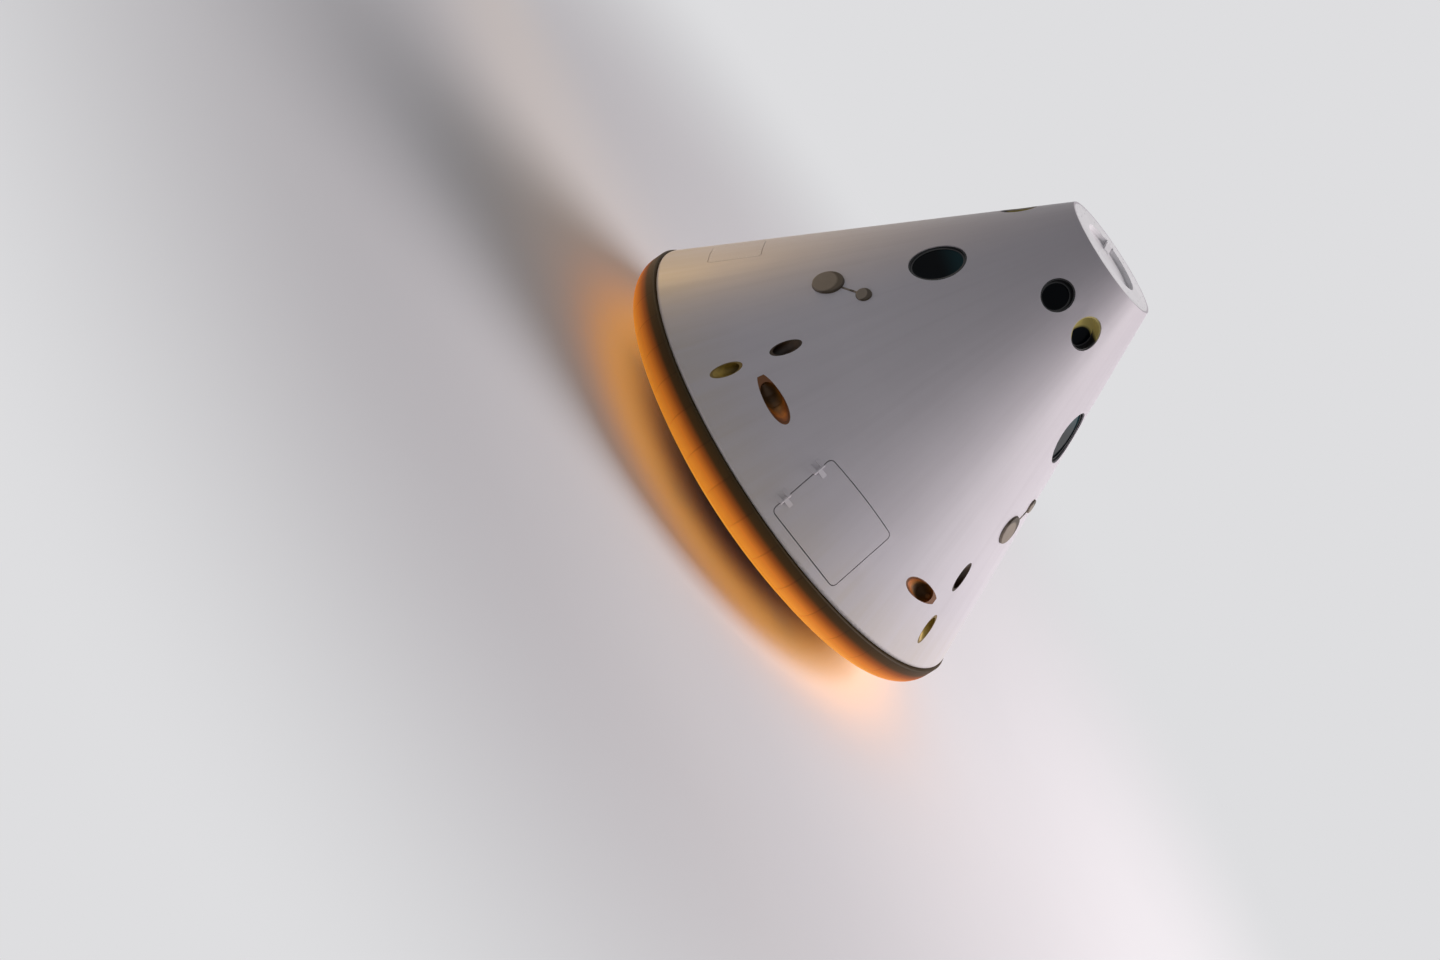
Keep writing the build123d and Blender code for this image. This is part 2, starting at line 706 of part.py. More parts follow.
LID_AXIS_Y = RECESS_RADIUS + LID_AXIS_BEYOND_RECESS
LID_AXIS_Z = NOSE_Z - LID_AXIS_BELOW_FACE
POCKET_REACH = LID_KNUCKLE_RADIUS + LID_POCKET_ROOM
EAR_INNER_X = LID_ARM_WIDTH / 2 + KNUCKLE_END_GAP
EAR_OUTER_X = EAR_INNER_X + LID_EAR_WIDTH
LID_TOP_DROP = RECESS_DEPTH - LID_AXIS_BELOW_FACE
LID_EDGE_BACK = LID_AXIS_BEYOND_RECESS + LID_GAP
LID_SECTION = Plane(origin=(0, LID_AXIS_Y, LID_AXIS_Z), x_dir=(0, 1, 0), z_dir=(1, 0, 0))


def lid_pin(radius):
    """The forward hatch's hinge pin, from ear to ear."""
    with BuildPart(mode=Mode.PRIVATE) as pin:
        with BuildSketch(LID_SECTION):
            Circle(radius)
        extrude(amount=EAR_OUTER_X, both=True)
    return pin.part


with BuildPart() as hinge_pocket:
    with Locations((0, LID_AXIS_Y + POCKET_REACH, LID_AXIS_Z - POCKET_REACH)):
        Box(
            2 * EAR_OUTER_X,
            LID_AXIS_BEYOND_RECESS + 2 * POCKET_REACH,
            LID_AXIS_BELOW_FACE + POCKET_REACH + OVERSHOOT,
            align=(Align.CENTER, Align.MAX, Align.MIN),
        )

with BuildPart() as forward_hatch_hinge:
    for side in (-1, 1):
        with BuildSketch(LID_SECTION.offset(side * (EAR_INNER_X + EAR_OUTER_X) / 2)):
            Circle(LID_KNUCKLE_RADIUS)
            with Locations((POCKET_REACH, -POCKET_REACH)):
                Rectangle(
                    POCKET_REACH + LID_KNUCKLE_RADIUS,
                    POCKET_REACH,
                    align=(Align.MAX, Align.MIN),
                )
        extrude(amount=LID_EAR_WIDTH / 2, both=True)
    add(lid_pin(LID_PIN_RADIUS))

with BuildPart() as forward_hatch_arm:
    with BuildSketch(LID_SECTION):
        with BuildLine():
            Polyline(
                (0, LID_KNUCKLE_RADIUS),
                (-LID_EDGE_BACK, LID_KNUCKLE_RADIUS),
                (-LID_EDGE_BACK - LID_ARM_REACH, LID_ARM_THICKNESS - LID_TOP_DROP),
                (-LID_EDGE_BACK - LID_ARM_REACH, -LID_TOP_DROP),
                (-LID_EDGE_BACK, -LID_TOP_DROP),
                (-LID_EDGE_BACK, -LID_KNUCKLE_RADIUS),
                (0, -LID_KNUCKLE_RADIUS),
                close=True,
            )
        make_face()
        Circle(LID_KNUCKLE_RADIUS)
    extrude(amount=LID_ARM_WIDTH / 2, both=True)
    add(lid_pin(LID_PIN_RADIUS + PIN_CLEARANCE), mode=Mode.SUBTRACT)

save(forward_hatch_hinge, "forward_hatch_hinge")
save(forward_hatch_arm, "forward_hatch_arm")


# Forward hatch: a round plug on a ledge in the recess, with ribs on its underside

LID_RADIUS = RECESS_RADIUS - LID_GAP
LID_LOW_Z = NOSE_Z - RECESS_DEPTH - LID_THICKNESS
LID_RIM_RADIUS = TUNNEL_RADIUS - LID_RIM_ROOM

with BuildPart() as forward_hatch:
    with BuildSketch(Plane.XZ):
        with BuildLine():
            Polyline(
                (0, NOSE_Z - RECESS_DEPTH),
                (LID_RADIUS, NOSE_Z - RECESS_DEPTH),
                (LID_RADIUS - LID_EDGE_TAPER, LID_LOW_Z),
                (0, LID_LOW_Z),
                close=True,
            )
        make_face()
    revolve(axis=Axis.Z)
    with BuildSketch(Plane.XY.offset(LID_LOW_Z)):
        Circle(LID_RIM_RADIUS)
        Circle(LID_RIM_RADIUS - LID_RIM_WIDTH, mode=Mode.SUBTRACT)
        Circle(LID_HUB_RADIUS)
        with PolarLocations((LID_HUB_RADIUS + LID_RIM_RADIUS - LID_RIM_WIDTH) / 2, LID_RIB_COUNT):
            Rectangle(LID_RIM_RADIUS - LID_HUB_RADIUS, LID_RIB_WIDTH)
    extrude(amount=-LID_RIB_DEPTH)

save(forward_hatch, "forward_hatch")


# Hand wheel under the forward hatch

WHEEL_Z = LID_LOW_Z - LID_RIB_DEPTH - WHEEL_DROP + WHEEL_TUBE_RADIUS

with BuildPart() as forward_hatch_latch:
    with BuildSketch(Plane.XY.offset(LID_LOW_Z - LID_RIB_DEPTH)):
        Circle(WHEEL_HUB_RADIUS)
    extrude(amount=-WHEEL_DROP)
    with Locations((0, 0, WHEEL_Z)):
        Torus(WHEEL_RADIUS, WHEEL_TUBE_RADIUS)
    for number in range(WHEEL_SPOKES):
        angle = radians(360 * number / WHEEL_SPOKES)
        spoke_plane = Plane(origin=(0, 0, WHEEL_Z), z_dir=(sin(angle), cos(angle), 0))
        with BuildSketch(spoke_plane):
            Circle(WHEEL_SPOKE_RADIUS)
        extrude(amount=WHEEL_RADIUS)

save(forward_hatch_latch, "forward_hatch_latch")


# Nose ring: the flat docking face, the recess, the ledge and the bolt holes

with BuildPart() as nose_ring:
    with BuildSketch(Plane.XZ):
        with BuildLine():
            Polyline(
                (RECESS_RADIUS, NOSE_Z),
                (RING_RADIUS, NOSE_Z),
                (RING_RADIUS, RING_Z),
                (TUNNEL_RADIUS, RING_Z),
                (TUNNEL_RADIUS, SEAT_Z),
                (RECESS_RADIUS, SEAT_Z),
                close=True,
            )
        make_face()
    revolve(axis=Axis.Z)
    add(hinge_pocket.part, mode=Mode.SUBTRACT)
    with Locations((0, 0, NOSE_Z)):
        with PolarLocations(DOCK_BOLT_CIRCLE_RADIUS, DOCK_BOLT_COUNT):
            Hole(DOCK_BOLT_RADIUS, DOCK_BOLT_DEPTH)

save(nose_ring, "nose_ring")


# Tunnel from the nose ring down to the forward deck, with a flange under the deck

with BuildPart() as docking_tunnel:
    with BuildSketch(Plane.XY.offset(DECK_Z)):
        Circle(TUNNEL_RADIUS + TUNNEL_WALL)
        Circle(TUNNEL_RADIUS, mode=Mode.SUBTRACT)
    extrude(amount=TUNNEL_LENGTH)
    with BuildSketch(Plane.XY.offset(DECK_Z)):
        Circle(TUNNEL_RADIUS + TUNNEL_WALL + TUNNEL_FLANGE_WIDTH)
        Circle(TUNNEL_RADIUS, mode=Mode.SUBTRACT)
    extrude(amount=-TUNNEL_FLANGE_THICKNESS)

save(docking_tunnel, "docking_tunnel")

deck_high = DECK_HEIGHT + DECK_THICKNESS

with BuildPart() as forward_deck:
    with BuildSketch(Plane.XZ):
        with BuildLine():
            Polyline(
                (TUNNEL_RADIUS + TUNNEL_WALL, DECK_Z),
                (skin_radius(DECK_HEIGHT, WALL), DECK_Z),
                (skin_radius(deck_high, WALL), DECK_Z + DECK_THICKNESS),
                (TUNNEL_RADIUS + TUNNEL_WALL, DECK_Z + DECK_THICKNESS),
                close=True,
            )
        make_face()
    revolve(axis=Axis.Z)

save(forward_deck, "forward_deck")


# Cabin rings: a web on the inner face of the wall, with a flange on its inner edge

ring_middles = [CONE_HEIGHT - drop for drop in RING_DROPS]

with BuildPart() as cabin_rings:
    for middle in ring_middles:
        low = middle - RING_WEB / 2
        high = middle + RING_WEB / 2
        add(cone_layer(WALL, WALL + RING_DEPTH, low, high))
        flange_low = middle - RING_FLANGE_HEIGHT / 2
        flange_high = middle + RING_FLANGE_HEIGHT / 2
        flange_depth = WALL + RING_DEPTH - RING_FLANGE_THICKNESS
        add(cone_layer(flange_depth, WALL + RING_DEPTH, flange_low, flange_high))

save(cabin_rings, "cabin_rings")


# Longerons: straight frames up the wall, cut where the rings cross them


def longeron_slabs(width):
    """Upright slabs through the axis, one for each pair of longerons."""
    with BuildPart(mode=Mode.PRIVATE) as slabs:
        for bearing in LONGERON_BEARINGS:
            with BuildSketch(Plane(origin=(0, 0, BASE_Z)).rotated((0, 0, bearing - 90))):
                Rectangle(2 * BASE_RADIUS, width)
            extrude(amount=DECK_HEIGHT)
    return slabs.part


with BuildPart() as longeron_webs:
    add(cone_layer(WALL, WALL + LONGERON_DEPTH, 0, DECK_HEIGHT))
    add(longeron_slabs(LONGERON_WEB), mode=Mode.INTERSECT)

with BuildPart() as cabin_longerons:
    flange_depth = WALL + LONGERON_DEPTH - LONGERON_FLANGE_THICKNESS
    add(cone_layer(flange_depth, WALL + LONGERON_DEPTH, 0, DECK_HEIGHT))
    add(longeron_slabs(LONGERON_FLANGE_WIDTH), mode=Mode.INTERSECT)
    add(longeron_webs.part)
    for middle in ring_middles:
        low = middle - RING_WEB / 2
        high = middle + RING_WEB / 2
        add(cone_layer(WALL - OVERSHOOT, WALL + RING_DEPTH, low, high), mode=Mode.SUBTRACT)

save(cabin_longerons, "cabin_longerons")


# Backshell: the white cone's whole wall, with a rebate for the nose ring and every opening

ring_height = CONE_HEIGHT - NOSE_RING_HEIGHT

with BuildPart() as backshell:
    with BuildSketch(Plane.XZ):
        with BuildLine():
            Polyline(
                (skin_radius(0), BASE_Z),
                (NOSE_RADIUS, NOSE_Z),
                (RING_RADIUS, NOSE_Z),
                (RING_RADIUS, RING_Z),
                (skin_radius(ring_height, WALL), RING_Z),
                (skin_radius(0, WALL), BASE_Z),
                close=True,
            )
        wall_section = make_face()
        outer_corner = wall_section.vertices().sort_by(Axis.X)[-1]
        fillet(outer_corner, BASE_EDGE_FILLET)
    revolve(axis=Axis.Z)
    add(hatch_block(HATCH_GAP), mode=Mode.SUBTRACT)
    add(side_hatch_hinge.part, mode=Mode.SUBTRACT)
    add(panel_block(PANEL_GAP), mode=Mode.SUBTRACT)
    for plane, length, width, sink, pane_thickness in WINDOWS + PORTS:
        add(oval_opening(plane, length, width), mode=Mode.SUBTRACT)
    for nozzles in PODS:
        for nozzle in nozzles:
            add(nozzle_can(*nozzle), mode=Mode.SUBTRACT)

save(backshell, "backshell")
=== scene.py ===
"""A conical re-entry capsule on its heat shield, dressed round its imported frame.

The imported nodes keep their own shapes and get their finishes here. What is added is the small
work that a close look finds: gaskets, retaining rings, screws, nozzle linings and floor tracks.
All lengths are in metres, and all places are in the frame's own axes.
"""

from __future__ import annotations

import logging
from collections.abc import Callable, Iterable, Sequence
from dataclasses import dataclass
from enum import Enum
from functools import cached_property
from math import atan, atan2, copysign, cos, hypot, pi, radians, sin, sqrt, tan, tau

import bmesh
import bpy
from mathutils import Matrix, Quaternion, Vector

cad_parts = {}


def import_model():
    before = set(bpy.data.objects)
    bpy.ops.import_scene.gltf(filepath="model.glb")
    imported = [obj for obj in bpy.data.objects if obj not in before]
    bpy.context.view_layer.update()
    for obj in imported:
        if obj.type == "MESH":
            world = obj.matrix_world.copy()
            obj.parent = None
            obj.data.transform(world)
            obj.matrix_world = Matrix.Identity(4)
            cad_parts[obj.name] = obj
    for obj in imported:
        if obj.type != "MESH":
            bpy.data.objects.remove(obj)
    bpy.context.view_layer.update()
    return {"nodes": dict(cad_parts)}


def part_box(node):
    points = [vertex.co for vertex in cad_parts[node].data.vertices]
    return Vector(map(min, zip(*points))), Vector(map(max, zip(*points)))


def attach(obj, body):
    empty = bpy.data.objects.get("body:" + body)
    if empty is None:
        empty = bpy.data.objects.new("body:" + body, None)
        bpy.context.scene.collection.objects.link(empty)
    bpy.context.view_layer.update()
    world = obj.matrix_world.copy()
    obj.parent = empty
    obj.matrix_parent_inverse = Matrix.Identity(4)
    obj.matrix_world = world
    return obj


LOG = logging.getLogger("capsule")
BACKDROP = "#DEDEE0"
# Colour of the painted gold glow inside one port of each pair.
PAINTED_GLOW_GOLD = "#C9BC78"
SETTLE_STEPS = 6
UPWARDS = 0.99
Piece = bpy.types.Object
Socket = bpy.types.NodeSocket


class Body(Enum):
    """The bodies that a piece can ride on."""

    CAPSULE = "capsule"
    SIDE_HATCH = "side_hatch"
    FORWARD_HATCH = "forward_hatch"


class Slot(Enum):
    """The record's material slots, which are passed with the added pieces but not used."""

    SHELL = "white_shell"
    METAL = "white_metal"
    LINER = "bronze_liner"
    NOZZLE = "nozzle_bronze"
    COVER = "grey_cover"
    STEEL = "hinge_steel"
    ALUMINIUM = "bare_aluminium"


# Shape of the cone, which gives every place on its skin


@dataclass(frozen=True)
class Cone:
    """The white cone, for placing things on its skin.

    A bearing is in degrees round the axis from the side hatch, positive towards +X. A height is
    measured up the axis from the base plane, and a depth from the skin along its normal, inwards.
    """

    base_z: float
    nose_z: float
    base_radius: float = 2.0
    nose_radius: float = 0.52

    @classmethod
    def from_frame(cls) -> Cone:
        """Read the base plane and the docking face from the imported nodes."""
        return cls(base_z=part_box("closeout_ring")[1].z, nose_z=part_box("nose_ring")[1].z)

    @property
    def slope(self) -> float:
        """How much the radius shrinks for each metre of height."""
        return (self.base_radius - self.nose_radius) / (self.nose_z - self.base_z)

    @property
    def lean(self) -> float:
        """Angle of the skin from upright, in radians."""
        return atan(self.slope)

    def radius(self, height: float, depth: float = 0.0) -> float:
        """Radius of the skin at a height, or of the same cone sunk by a depth."""
        return self.base_radius - height * self.slope - depth / cos(self.lean)

    def place(self, bearing: float, height: float) -> Matrix:
        """Make the place of something on the skin.

        Args:
            bearing: Degrees round the axis from the side hatch.
            height: Height over the base plane.

        Returns:
            A matrix whose x runs round the cone, y up the slope and z outwards.
        """
        angle, flat, radius = radians(bearing), cos(self.lean), self.radius(height)
        around = Vector((cos(angle), sin(angle), 0))
        outwards = Vector((sin(angle) * flat, -cos(angle) * flat, sin(self.lean)))
        centre = Vector((radius * sin(angle), -radius * cos(angle), self.base_z + height))
        return axes(centre, around, outwards.cross(around), outwards)

    def over(self, point: Vector, depth: float = 0.0) -> float:
        """Distance of a point outside the skin along its normal, or outside a layer under it."""
        skin = self.radius(point.z - self.base_z, depth)
        return (hypot(point.x, point.y) - skin) * cos(self.lean)

    def settle(self, place: Matrix, x: float, y: float, depth: float = 0.0) -> float:
        """Find how high over a place's plane the skin, or a layer under it, lies.

        Args:
            place: A place on the skin.
            x: Distance round the cone from the place.
            y: Distance up the slope from the place.
            depth: Depth of the layer under the skin.

        Returns:
            The z in the place's own axes, which is negative where the skin falls away.
        """
        z = 0.0
        for _ in range(SETTLE_STEPS):
            z -= self.over(place @ Vector((x, y, z)), depth)
        return z

    def beside(self, place: Matrix, x: float, y: float, proud: float = 0.0) -> Matrix:
        """Move a place along the curved skin, and out of it by what stands proud."""
        return place @ Matrix.Translation((x, y, self.settle(place, x, y) + proud))


def axes(origin: Vector, x_axis: Vector, y_axis: Vector, z_axis: Vector) -> Matrix:
    """Make a matrix from an origin and three axes."""
    turned = Matrix((x_axis, y_axis, z_axis)).transposed().to_4x4()
    return Matrix.Translation(origin) @ turned


def canted(place: Matrix, cant: float, towards: Vector) -> Matrix:
    """Turn a place's z by an angle towards a direction in the skin.

    Args:
        place: A place on the skin.
        cant: The angle in degrees.
        towards: The direction in the skin, of length 1.

    Returns:
        The turned place, at the same origin.
    """
    outwards = place.to_3x3().col[2]
    z_axis = outwards * cos(radians(cant)) + towards * sin(radians(cant))
    x_axis = towards.cross(outwards).normalized()
    return axes(place.translation, x_axis, z_axis.cross(x_axis), z_axis)


# Finishes


def linear(hex_code: str) -> tuple[float, float, float, float]:
    """Turn an sRGB hex colour into the linear colour that a shader takes.

    Args:
        hex_code: Six hex digits after a hash sign.

    Returns:
        Red, green, blue and an alpha of 1.
    """
    parts = [int(hex_code[i : i + 2], 16) / 255 for i in (1, 3, 5)]
    red, green, blue = (
        p / 12.92 if p <= 0.04045 else ((p + 0.055) / 1.055) ** 2.4 for p in parts
    )
    return (red, green, blue, 1.0)


class Graph:
    """The nodes of a material or a world, with its shader and what a pattern starts from."""

    def __init__(self, tree: bpy.types.NodeTree, shader: str, output: str) -> None:
        """Start from an untouched shader and its output.

        Args:
            tree: All the nodes.
            shader: The shader's name.
            output: The output's name.
        """
        self.tree = tree
        self.shader = tree.nodes[shader]
        self.output = tree.nodes[output]
        self.cone = Cone.from_frame()

    @cached_property
    def coords(self) -> Socket:
        """The Object coordinates, which are the frame's own axes."""
        return self.add("TexCoord", out="Object")

    @cached_property
    def parts(self) -> bpy.types.bpy_prop_collection:
        """X, Y and Z of the Object coordinates."""
        return self.add("SeparateXYZ", {"Vector": self.coords}).node.outputs

    @cached_property
    def flat(self) -> Socket:
        """The Object coordinates without their height."""
        return self.add("VectorMath", {0: self.coords, 1: (1.0, 1.0, 0.0)}, operation="MULTIPLY")

    @cached_property
    def radius(self) -> Socket:
        """Distance from the axis."""
        return self.add("VectorMath", {0: self.flat}, operation="LENGTH")

    @cached_property
    def turn(self) -> Socket:
        """Angle round the axis in radians, from +X."""
        return self.add("Math", {0: self.parts["Y"], 1: self.parts["X"]}, operation="ARCTAN2")

    @cached_property
    def depth(self) -> Socket:
        """Horizontal depth under the cone's skin."""
        cone = self.cone
        ends = (cone.base_radius, cone.nose_radius)
        skin = self.climb(cone.base_z, cone.nose_z, *ends, clamp=False)
        return self.add("Math", {0: skin, 1: self.radius}, operation="SUBTRACT")

    def climb(
        self, low: float, high: float, start: float = 0.0, end: float = 1.0, **settings: object
    ) -> Socket:
        """Give a number that runs from one height to another.

        Args:
            low: The lower height, in the frame's axes.
            high: The upper height.
            start: The number at the lower height.
            end: The number at the upper height.
            **settings: The map range's own properties.

        Returns:
            The number.
        """
        heights = {"Value": self.parts["Z"], "From Min": low, "From Max": high}
        return self.add("MapRange", heights | {"To Min": start, "To Max": end}, **settings)

    def directly_seen(self) -> Socket:
        """Find the rays from the camera and off metal or through glass.

        Returns:
            1 for such a ray, and 0 for the others.
        """
        path = self.add("LightPath").node.outputs
        either = self.add(
            "Math", {0: path["Is Camera Ray"], 1: path["Is Glossy Ray"]}, operation="MAXIMUM"
        )
        return self.add("Math", {0: either, 1: path["Is Transmission Ray"]}, operation="MAXIMUM")

    def cover(self, other: Socket, share: Socket) -> None:
        """Mix another shader over this graph's own by a share, up to the output."""
        mix = self.add("MixShader", {0: share, 1: self.shader.outputs[0], 2: other})
        self.tree.links.new(mix, self.output.inputs["Surface"])

    def surface(self, values: dict[str, object]) -> None:
        """Link or set the shader's own inputs."""
        self.feed(self.shader, values)

    def feed(self, node: bpy.types.Node, values: dict[str | int, object]) -> None:
        """Link or set a node's inputs.

        Args:
            node: The node.
            values: By the name or number of an input, an output, a hex colour or a plain value.
        """
        for key, value in values.items():
            live = [socket for socket in node.inputs if socket.enabled and socket.name == key]
            socket = live[0] if live else node.inputs[key]
            if isinstance(value, Socket):
                self.tree.links.new(value, socket)
            else:
                socket.default_value = linear(value) if isinstance(value, str) else value

    def add(
        self,
        kind: str,
        inputs: dict[str | int, object] | None = None,
        stops: Sequence[tuple[float, str]] = (),
        out: str = "",
        **settings: object,
    ) -> Socket:
        """Add a node with its settings and its links.

        Args:
            kind: Blender's name for the node, after ShaderNode.
            inputs: What its inputs get.
            stops: Places and hex colours of a colour ramp, its two ends first.
            out: The output that is wanted, where that isn't the first.
            **settings: The node's own properties.

        Returns:
            That output of the new node.
        """
        node = self.tree.nodes.new(f"ShaderNode{kind}")
        for key, value in settings.items():
            setattr(node, key, value)
        self.feed(node, inputs or {})
        for number, (position, colour) in enumerate(stops):
            elements = node.color_ramp.elements
            element = elements[number] if number < 2 else elements.new(position)
            element.position = position
            element.color = linear(colour)
        return node.outputs[out] if out else next(o for o in node.outputs if o.enabled)


@dataclass(frozen=True)
class Finish:
    """What every finish has, and how its material is made once.

    Its clouds are soft patches of a second colour, and its grain is an even fine bump. Their
    sizes are the width of one, a cloud's share is how much of its colour the middle holds, and
    the grain's height is a share of its size.
    """

    name: str
    colour: str
    roughness: float
    metallic: float = 0.0
    specular: float = 0.5
    coat: float = 0.0
    coat_roughness: float = 0.03
    cloud_colour: str = "#FFFFFF"
    cloud_size: float = 0.05
    cloud_share: float = 0.5
    cloud_edges: tuple[float, float] = (0.35, 0.7)
    # Painted light and shade, as crescent shapes laid last in their own colour.
    painted_crescents: tuple[PaintedCrescent, ...] = ()
    painted_crescent_colour: str = PAINTED_GLOW_GOLD
    grain_size: float = 0.006
    grain_strength: float = 0.15
    grain_height: float = 0.2

    def material(self) -> bpy.types.Material:
        """Make the finish's material on first use.

        Returns:
            The material.
        """
        made = bpy.data.materials.get(self.name)
        if made is None:
            made = bpy.data.materials.new(self.name)
            made.use_nodes = True
            graph = Graph(made.node_tree, "Principled BSDF", "Material Output")
            graph.surface(
                {
                    "Base Color": self.colour,
                    "Roughness": self.roughness,
                    "Metallic": self.metallic,
                    "Specular IOR Level": self.specular,
                    "Coat Weight": self.coat,
                    "Coat Roughness": self.coat_roughness,
                }
            )
            self.shade(graph)
        return made

    def shade(self, graph: Graph) -> None:
        """Colour and raise the surface, where the finish has no pattern of its own."""
        graph.surface({"Base Color": self.clouded(graph), "Normal": self.relief(graph)})

    def clouded(
        self, graph: Graph, base: Socket | None = None, layers: Sequence[tuple[Socket, str]] = ()
    ) -> Socket:
        """Lay the clouds over a colour, and other layers over them.

        Args:
            graph: The material's nodes.
            base: That colour, where it isn't the finish's own.
            layers: How much of each other colour shows, and the colour.

        Returns:
            The colour.
        """
        scale = 1 / self.cloud_size
        noise = graph.add("TexNoise", {"Vector": graph.coords, "Scale": scale, "Detail": 3.0})
        low, high = self.cloud_edges
        ends = {"From Min": low, "From Max": high, "To Max": self.cloud_share}
        clouds = (graph.add("MapRange", {"Value": noise} | ends), self.cloud_colour)
        return self.layered(graph, self.colour if base is None else base, (clouds, *layers))

    def layered(
        self, graph: Graph, colour: Socket | str, layers: Sequence[tuple[Socket, str]]
    ) -> Socket:
        """Lay colours one over another, and last the painted light and shade of each crescent.

        Args:
            graph: The material's nodes.
            colour: The colour under them.
            layers: How much of each colour shows, and the colour.

        Returns:
            The colour.
        """
        painted_crescents = [(crescent.share(graph), self.painted_crescent_colour) for crescent in self.painted_crescents]
        for share, over in (*layers, *painted_crescents):
            colour = graph.add("Mix", {"Factor": share, "A": colour, "B": over}, data_type="RGBA")
        return colour

    def relief(self, graph: Graph) -> Socket:
        """Raise the grain, and give the normal."""
        bump = {"Strength": self.grain_strength, "Distance": self.grain_size * self.grain_height}
        return graph.add("Bump", {"Height": self.grain(graph)} | bump)

    def grain(self, graph: Graph) -> Socket:
        """Give the grain's height, which is a noise where the surface has no marks of its own."""
        scale = 1 / self.grain_size
        return graph.add("TexNoise", {"Vector": graph.coords, "Scale": scale, "Detail": 2.0})


@dataclass(frozen=True)
class PaintedCrescent:
    """A painted crescent inside the rim of a round thing that comes three times round the cone.

    It is painted glow on the ports and painted shade on the antenna covers.
    """

    bearing: float
    height: float
    radius: float
    towards: tuple[float, float]
    thickness: float
    outer: float
    inner: float = 0.45
    softness: float = 0.08

    def share(self, graph: Graph) -> Socket:
        """Give 1 inside the crescent and 0 elsewhere, with soft edges.

        Args:
            graph: The material's nodes.

        Returns:
            The share.
        """
        third = tau / 3
        reach = graph.cone.radius(self.height) * third / 2
        level = graph.cone.base_z + self.height
        past = third / 2 - radians(self.bearing - 90)
        shifted = graph.add("Math", {0: graph.turn, 1: past}, operation="ADD")
        folded = graph.add("Math", {0: shifted, 1: third}, operation="FLOORED_MODULO")
        across = graph.add(
            "MapRange",
            {"Value": folded, "From Max": third, "To Min": -reach, "To Max": reach},
            clamp=False,
        )
        rise = graph.climb(level, level + cos(graph.cone.lean), clamp=False)
        spot = graph.add("CombineXYZ", {"X": across, "Y": rise})
        shift = self.thickness * self.radius
        middle = (-self.towards[0] * shift, -self.towards[1] * shift, 0.0)
        away = graph.add("VectorMath", {0: spot, 1: middle}, operation="DISTANCE")
        ratio = graph.add("MapRange", {"Value": away, "From Max": 2 * self.radius})
        stops = (
            (self.inner, "#000000"),
            (self.outer + self.softness, "#000000"),
            (self.inner + self.softness, "#FFFFFF"),
            (self.outer, "#FFFFFF"),
        )
        return graph.add("ValToRGB", {"Fac": ratio}, stops)


@dataclass(frozen=True)
class SprayedWhitePaint(Finish):
    """Silicone thermal paint, sprayed on the wall.

    It gives a soft white with a satin gloss, faint streaks along the slope, painted warm light low
    down and painted shade that greys it towards the nose. Deeper than half the wall the same node
    is the cabin's own light enamel.
    """

    cloud_colour: str = "#CBC6CB"
    cloud_size: float = 0.9
    cloud_share: float = 0.3
    grain_size: float = 0.012
    grain_strength: float = 0.04
    streak_colour: str = "#B5AFB3"
    streak_width: float = 0.10
    streak_stretch: float = 0.7
    streak_edges: tuple[float, float] = (0.45, 0.8)
    streak_share: float = 0.16
    # Painted warm light low down, where a glow would fall on the shell.
    painted_warm_light_colour: str = "#D6C7A0"
    painted_warm_light_height: float = 0.55
    painted_warm_light_share: float = 0.4
    # Painted shade: the paint greys towards the nose, where the light falls off.
    painted_nose_shade_colour: str = "#B4AEB4"
    painted_nose_shade_start: float = 0.4
    painted_nose_shade_share: float = 0.6
    cabin_colour: str = "#B7BCB9"
    cabin_depth: float = 0.09
    dulling: tuple[float, float] = (-0.05, 0.1)
    coat: float = 0.08
    coat_roughness: float = 0.3

    def shade(self, graph: Graph) -> None:
        """Streak the paint along the slope, paint warm light at its base and shade towards its
        nose, and paint the cabin side.

        Args:
            graph: The material's nodes.
        """
        cone = graph.cone
        around = graph.add("VectorMath", {0: graph.flat}, operation="NORMALIZE")
        turns = cone.base_radius / self.streak_width
        stretched = graph.add("VectorMath", {0: around, "Scale": turns}, operation="SCALE")
        rise = {0: graph.parts["Z"], 1: self.streak_stretch}
        upwards = graph.add("CombineXYZ", {"Z": graph.add("Math", rise, operation="MULTIPLY")})
        place = graph.add("VectorMath", {0: stretched, 1: upwards}, operation="ADD")
        streaks = graph.add("TexNoise", {"Vector": place, "Scale": 1.0, "Detail": 4.0})
        low, high = self.streak_edges
        ends = {"From Min": low, "From Max": high, "To Max": self.streak_share}
        streaked = graph.add("MapRange", {"Value": streaks} | ends)
        # Painted warm light: a warm tint fading up from the base, streaked along the slope.
        painted_warm_light_top = cone.base_z + self.painted_warm_light_height
        painted_warm_light_fade = graph.climb(
            cone.base_z, painted_warm_light_top, self.painted_warm_light_share, 0.0, interpolation_type="SMOOTHSTEP"
        )
        painted_warm_light = graph.add("Math", {0: painted_warm_light_fade, 1: streaks}, operation="MULTIPLY")
        # Painted shade, greying the paint from partway up to the nose.
        painted_nose_shade_from = cone.base_z + self.painted_nose_shade_start * (cone.nose_z - cone.base_z)
        painted_nose_shade = graph.climb(painted_nose_shade_from, cone.nose_z, 0.0, self.painted_nose_shade_share)
        inside = graph.add("Math", {0: graph.depth, 1: self.cabin_depth}, operation="GREATER_THAN")
        layers = (
            (streaked, self.streak_colour),
            (painted_warm_light, self.painted_warm_light_colour),
            (painted_nose_shade, self.painted_nose_shade_colour),
            (inside, self.cabin_colour),
        )
        glossy, dull = (self.roughness + change for change in self.dulling)
        roughness = graph.add("MapRange", {"Value": streaks, "To Min": glossy, "To Max": dull})
        colour = self.clouded(graph, layers=layers)
        graph.surface({"Base Color": colour, "Roughness": roughness, "Normal": self.relief(graph)})


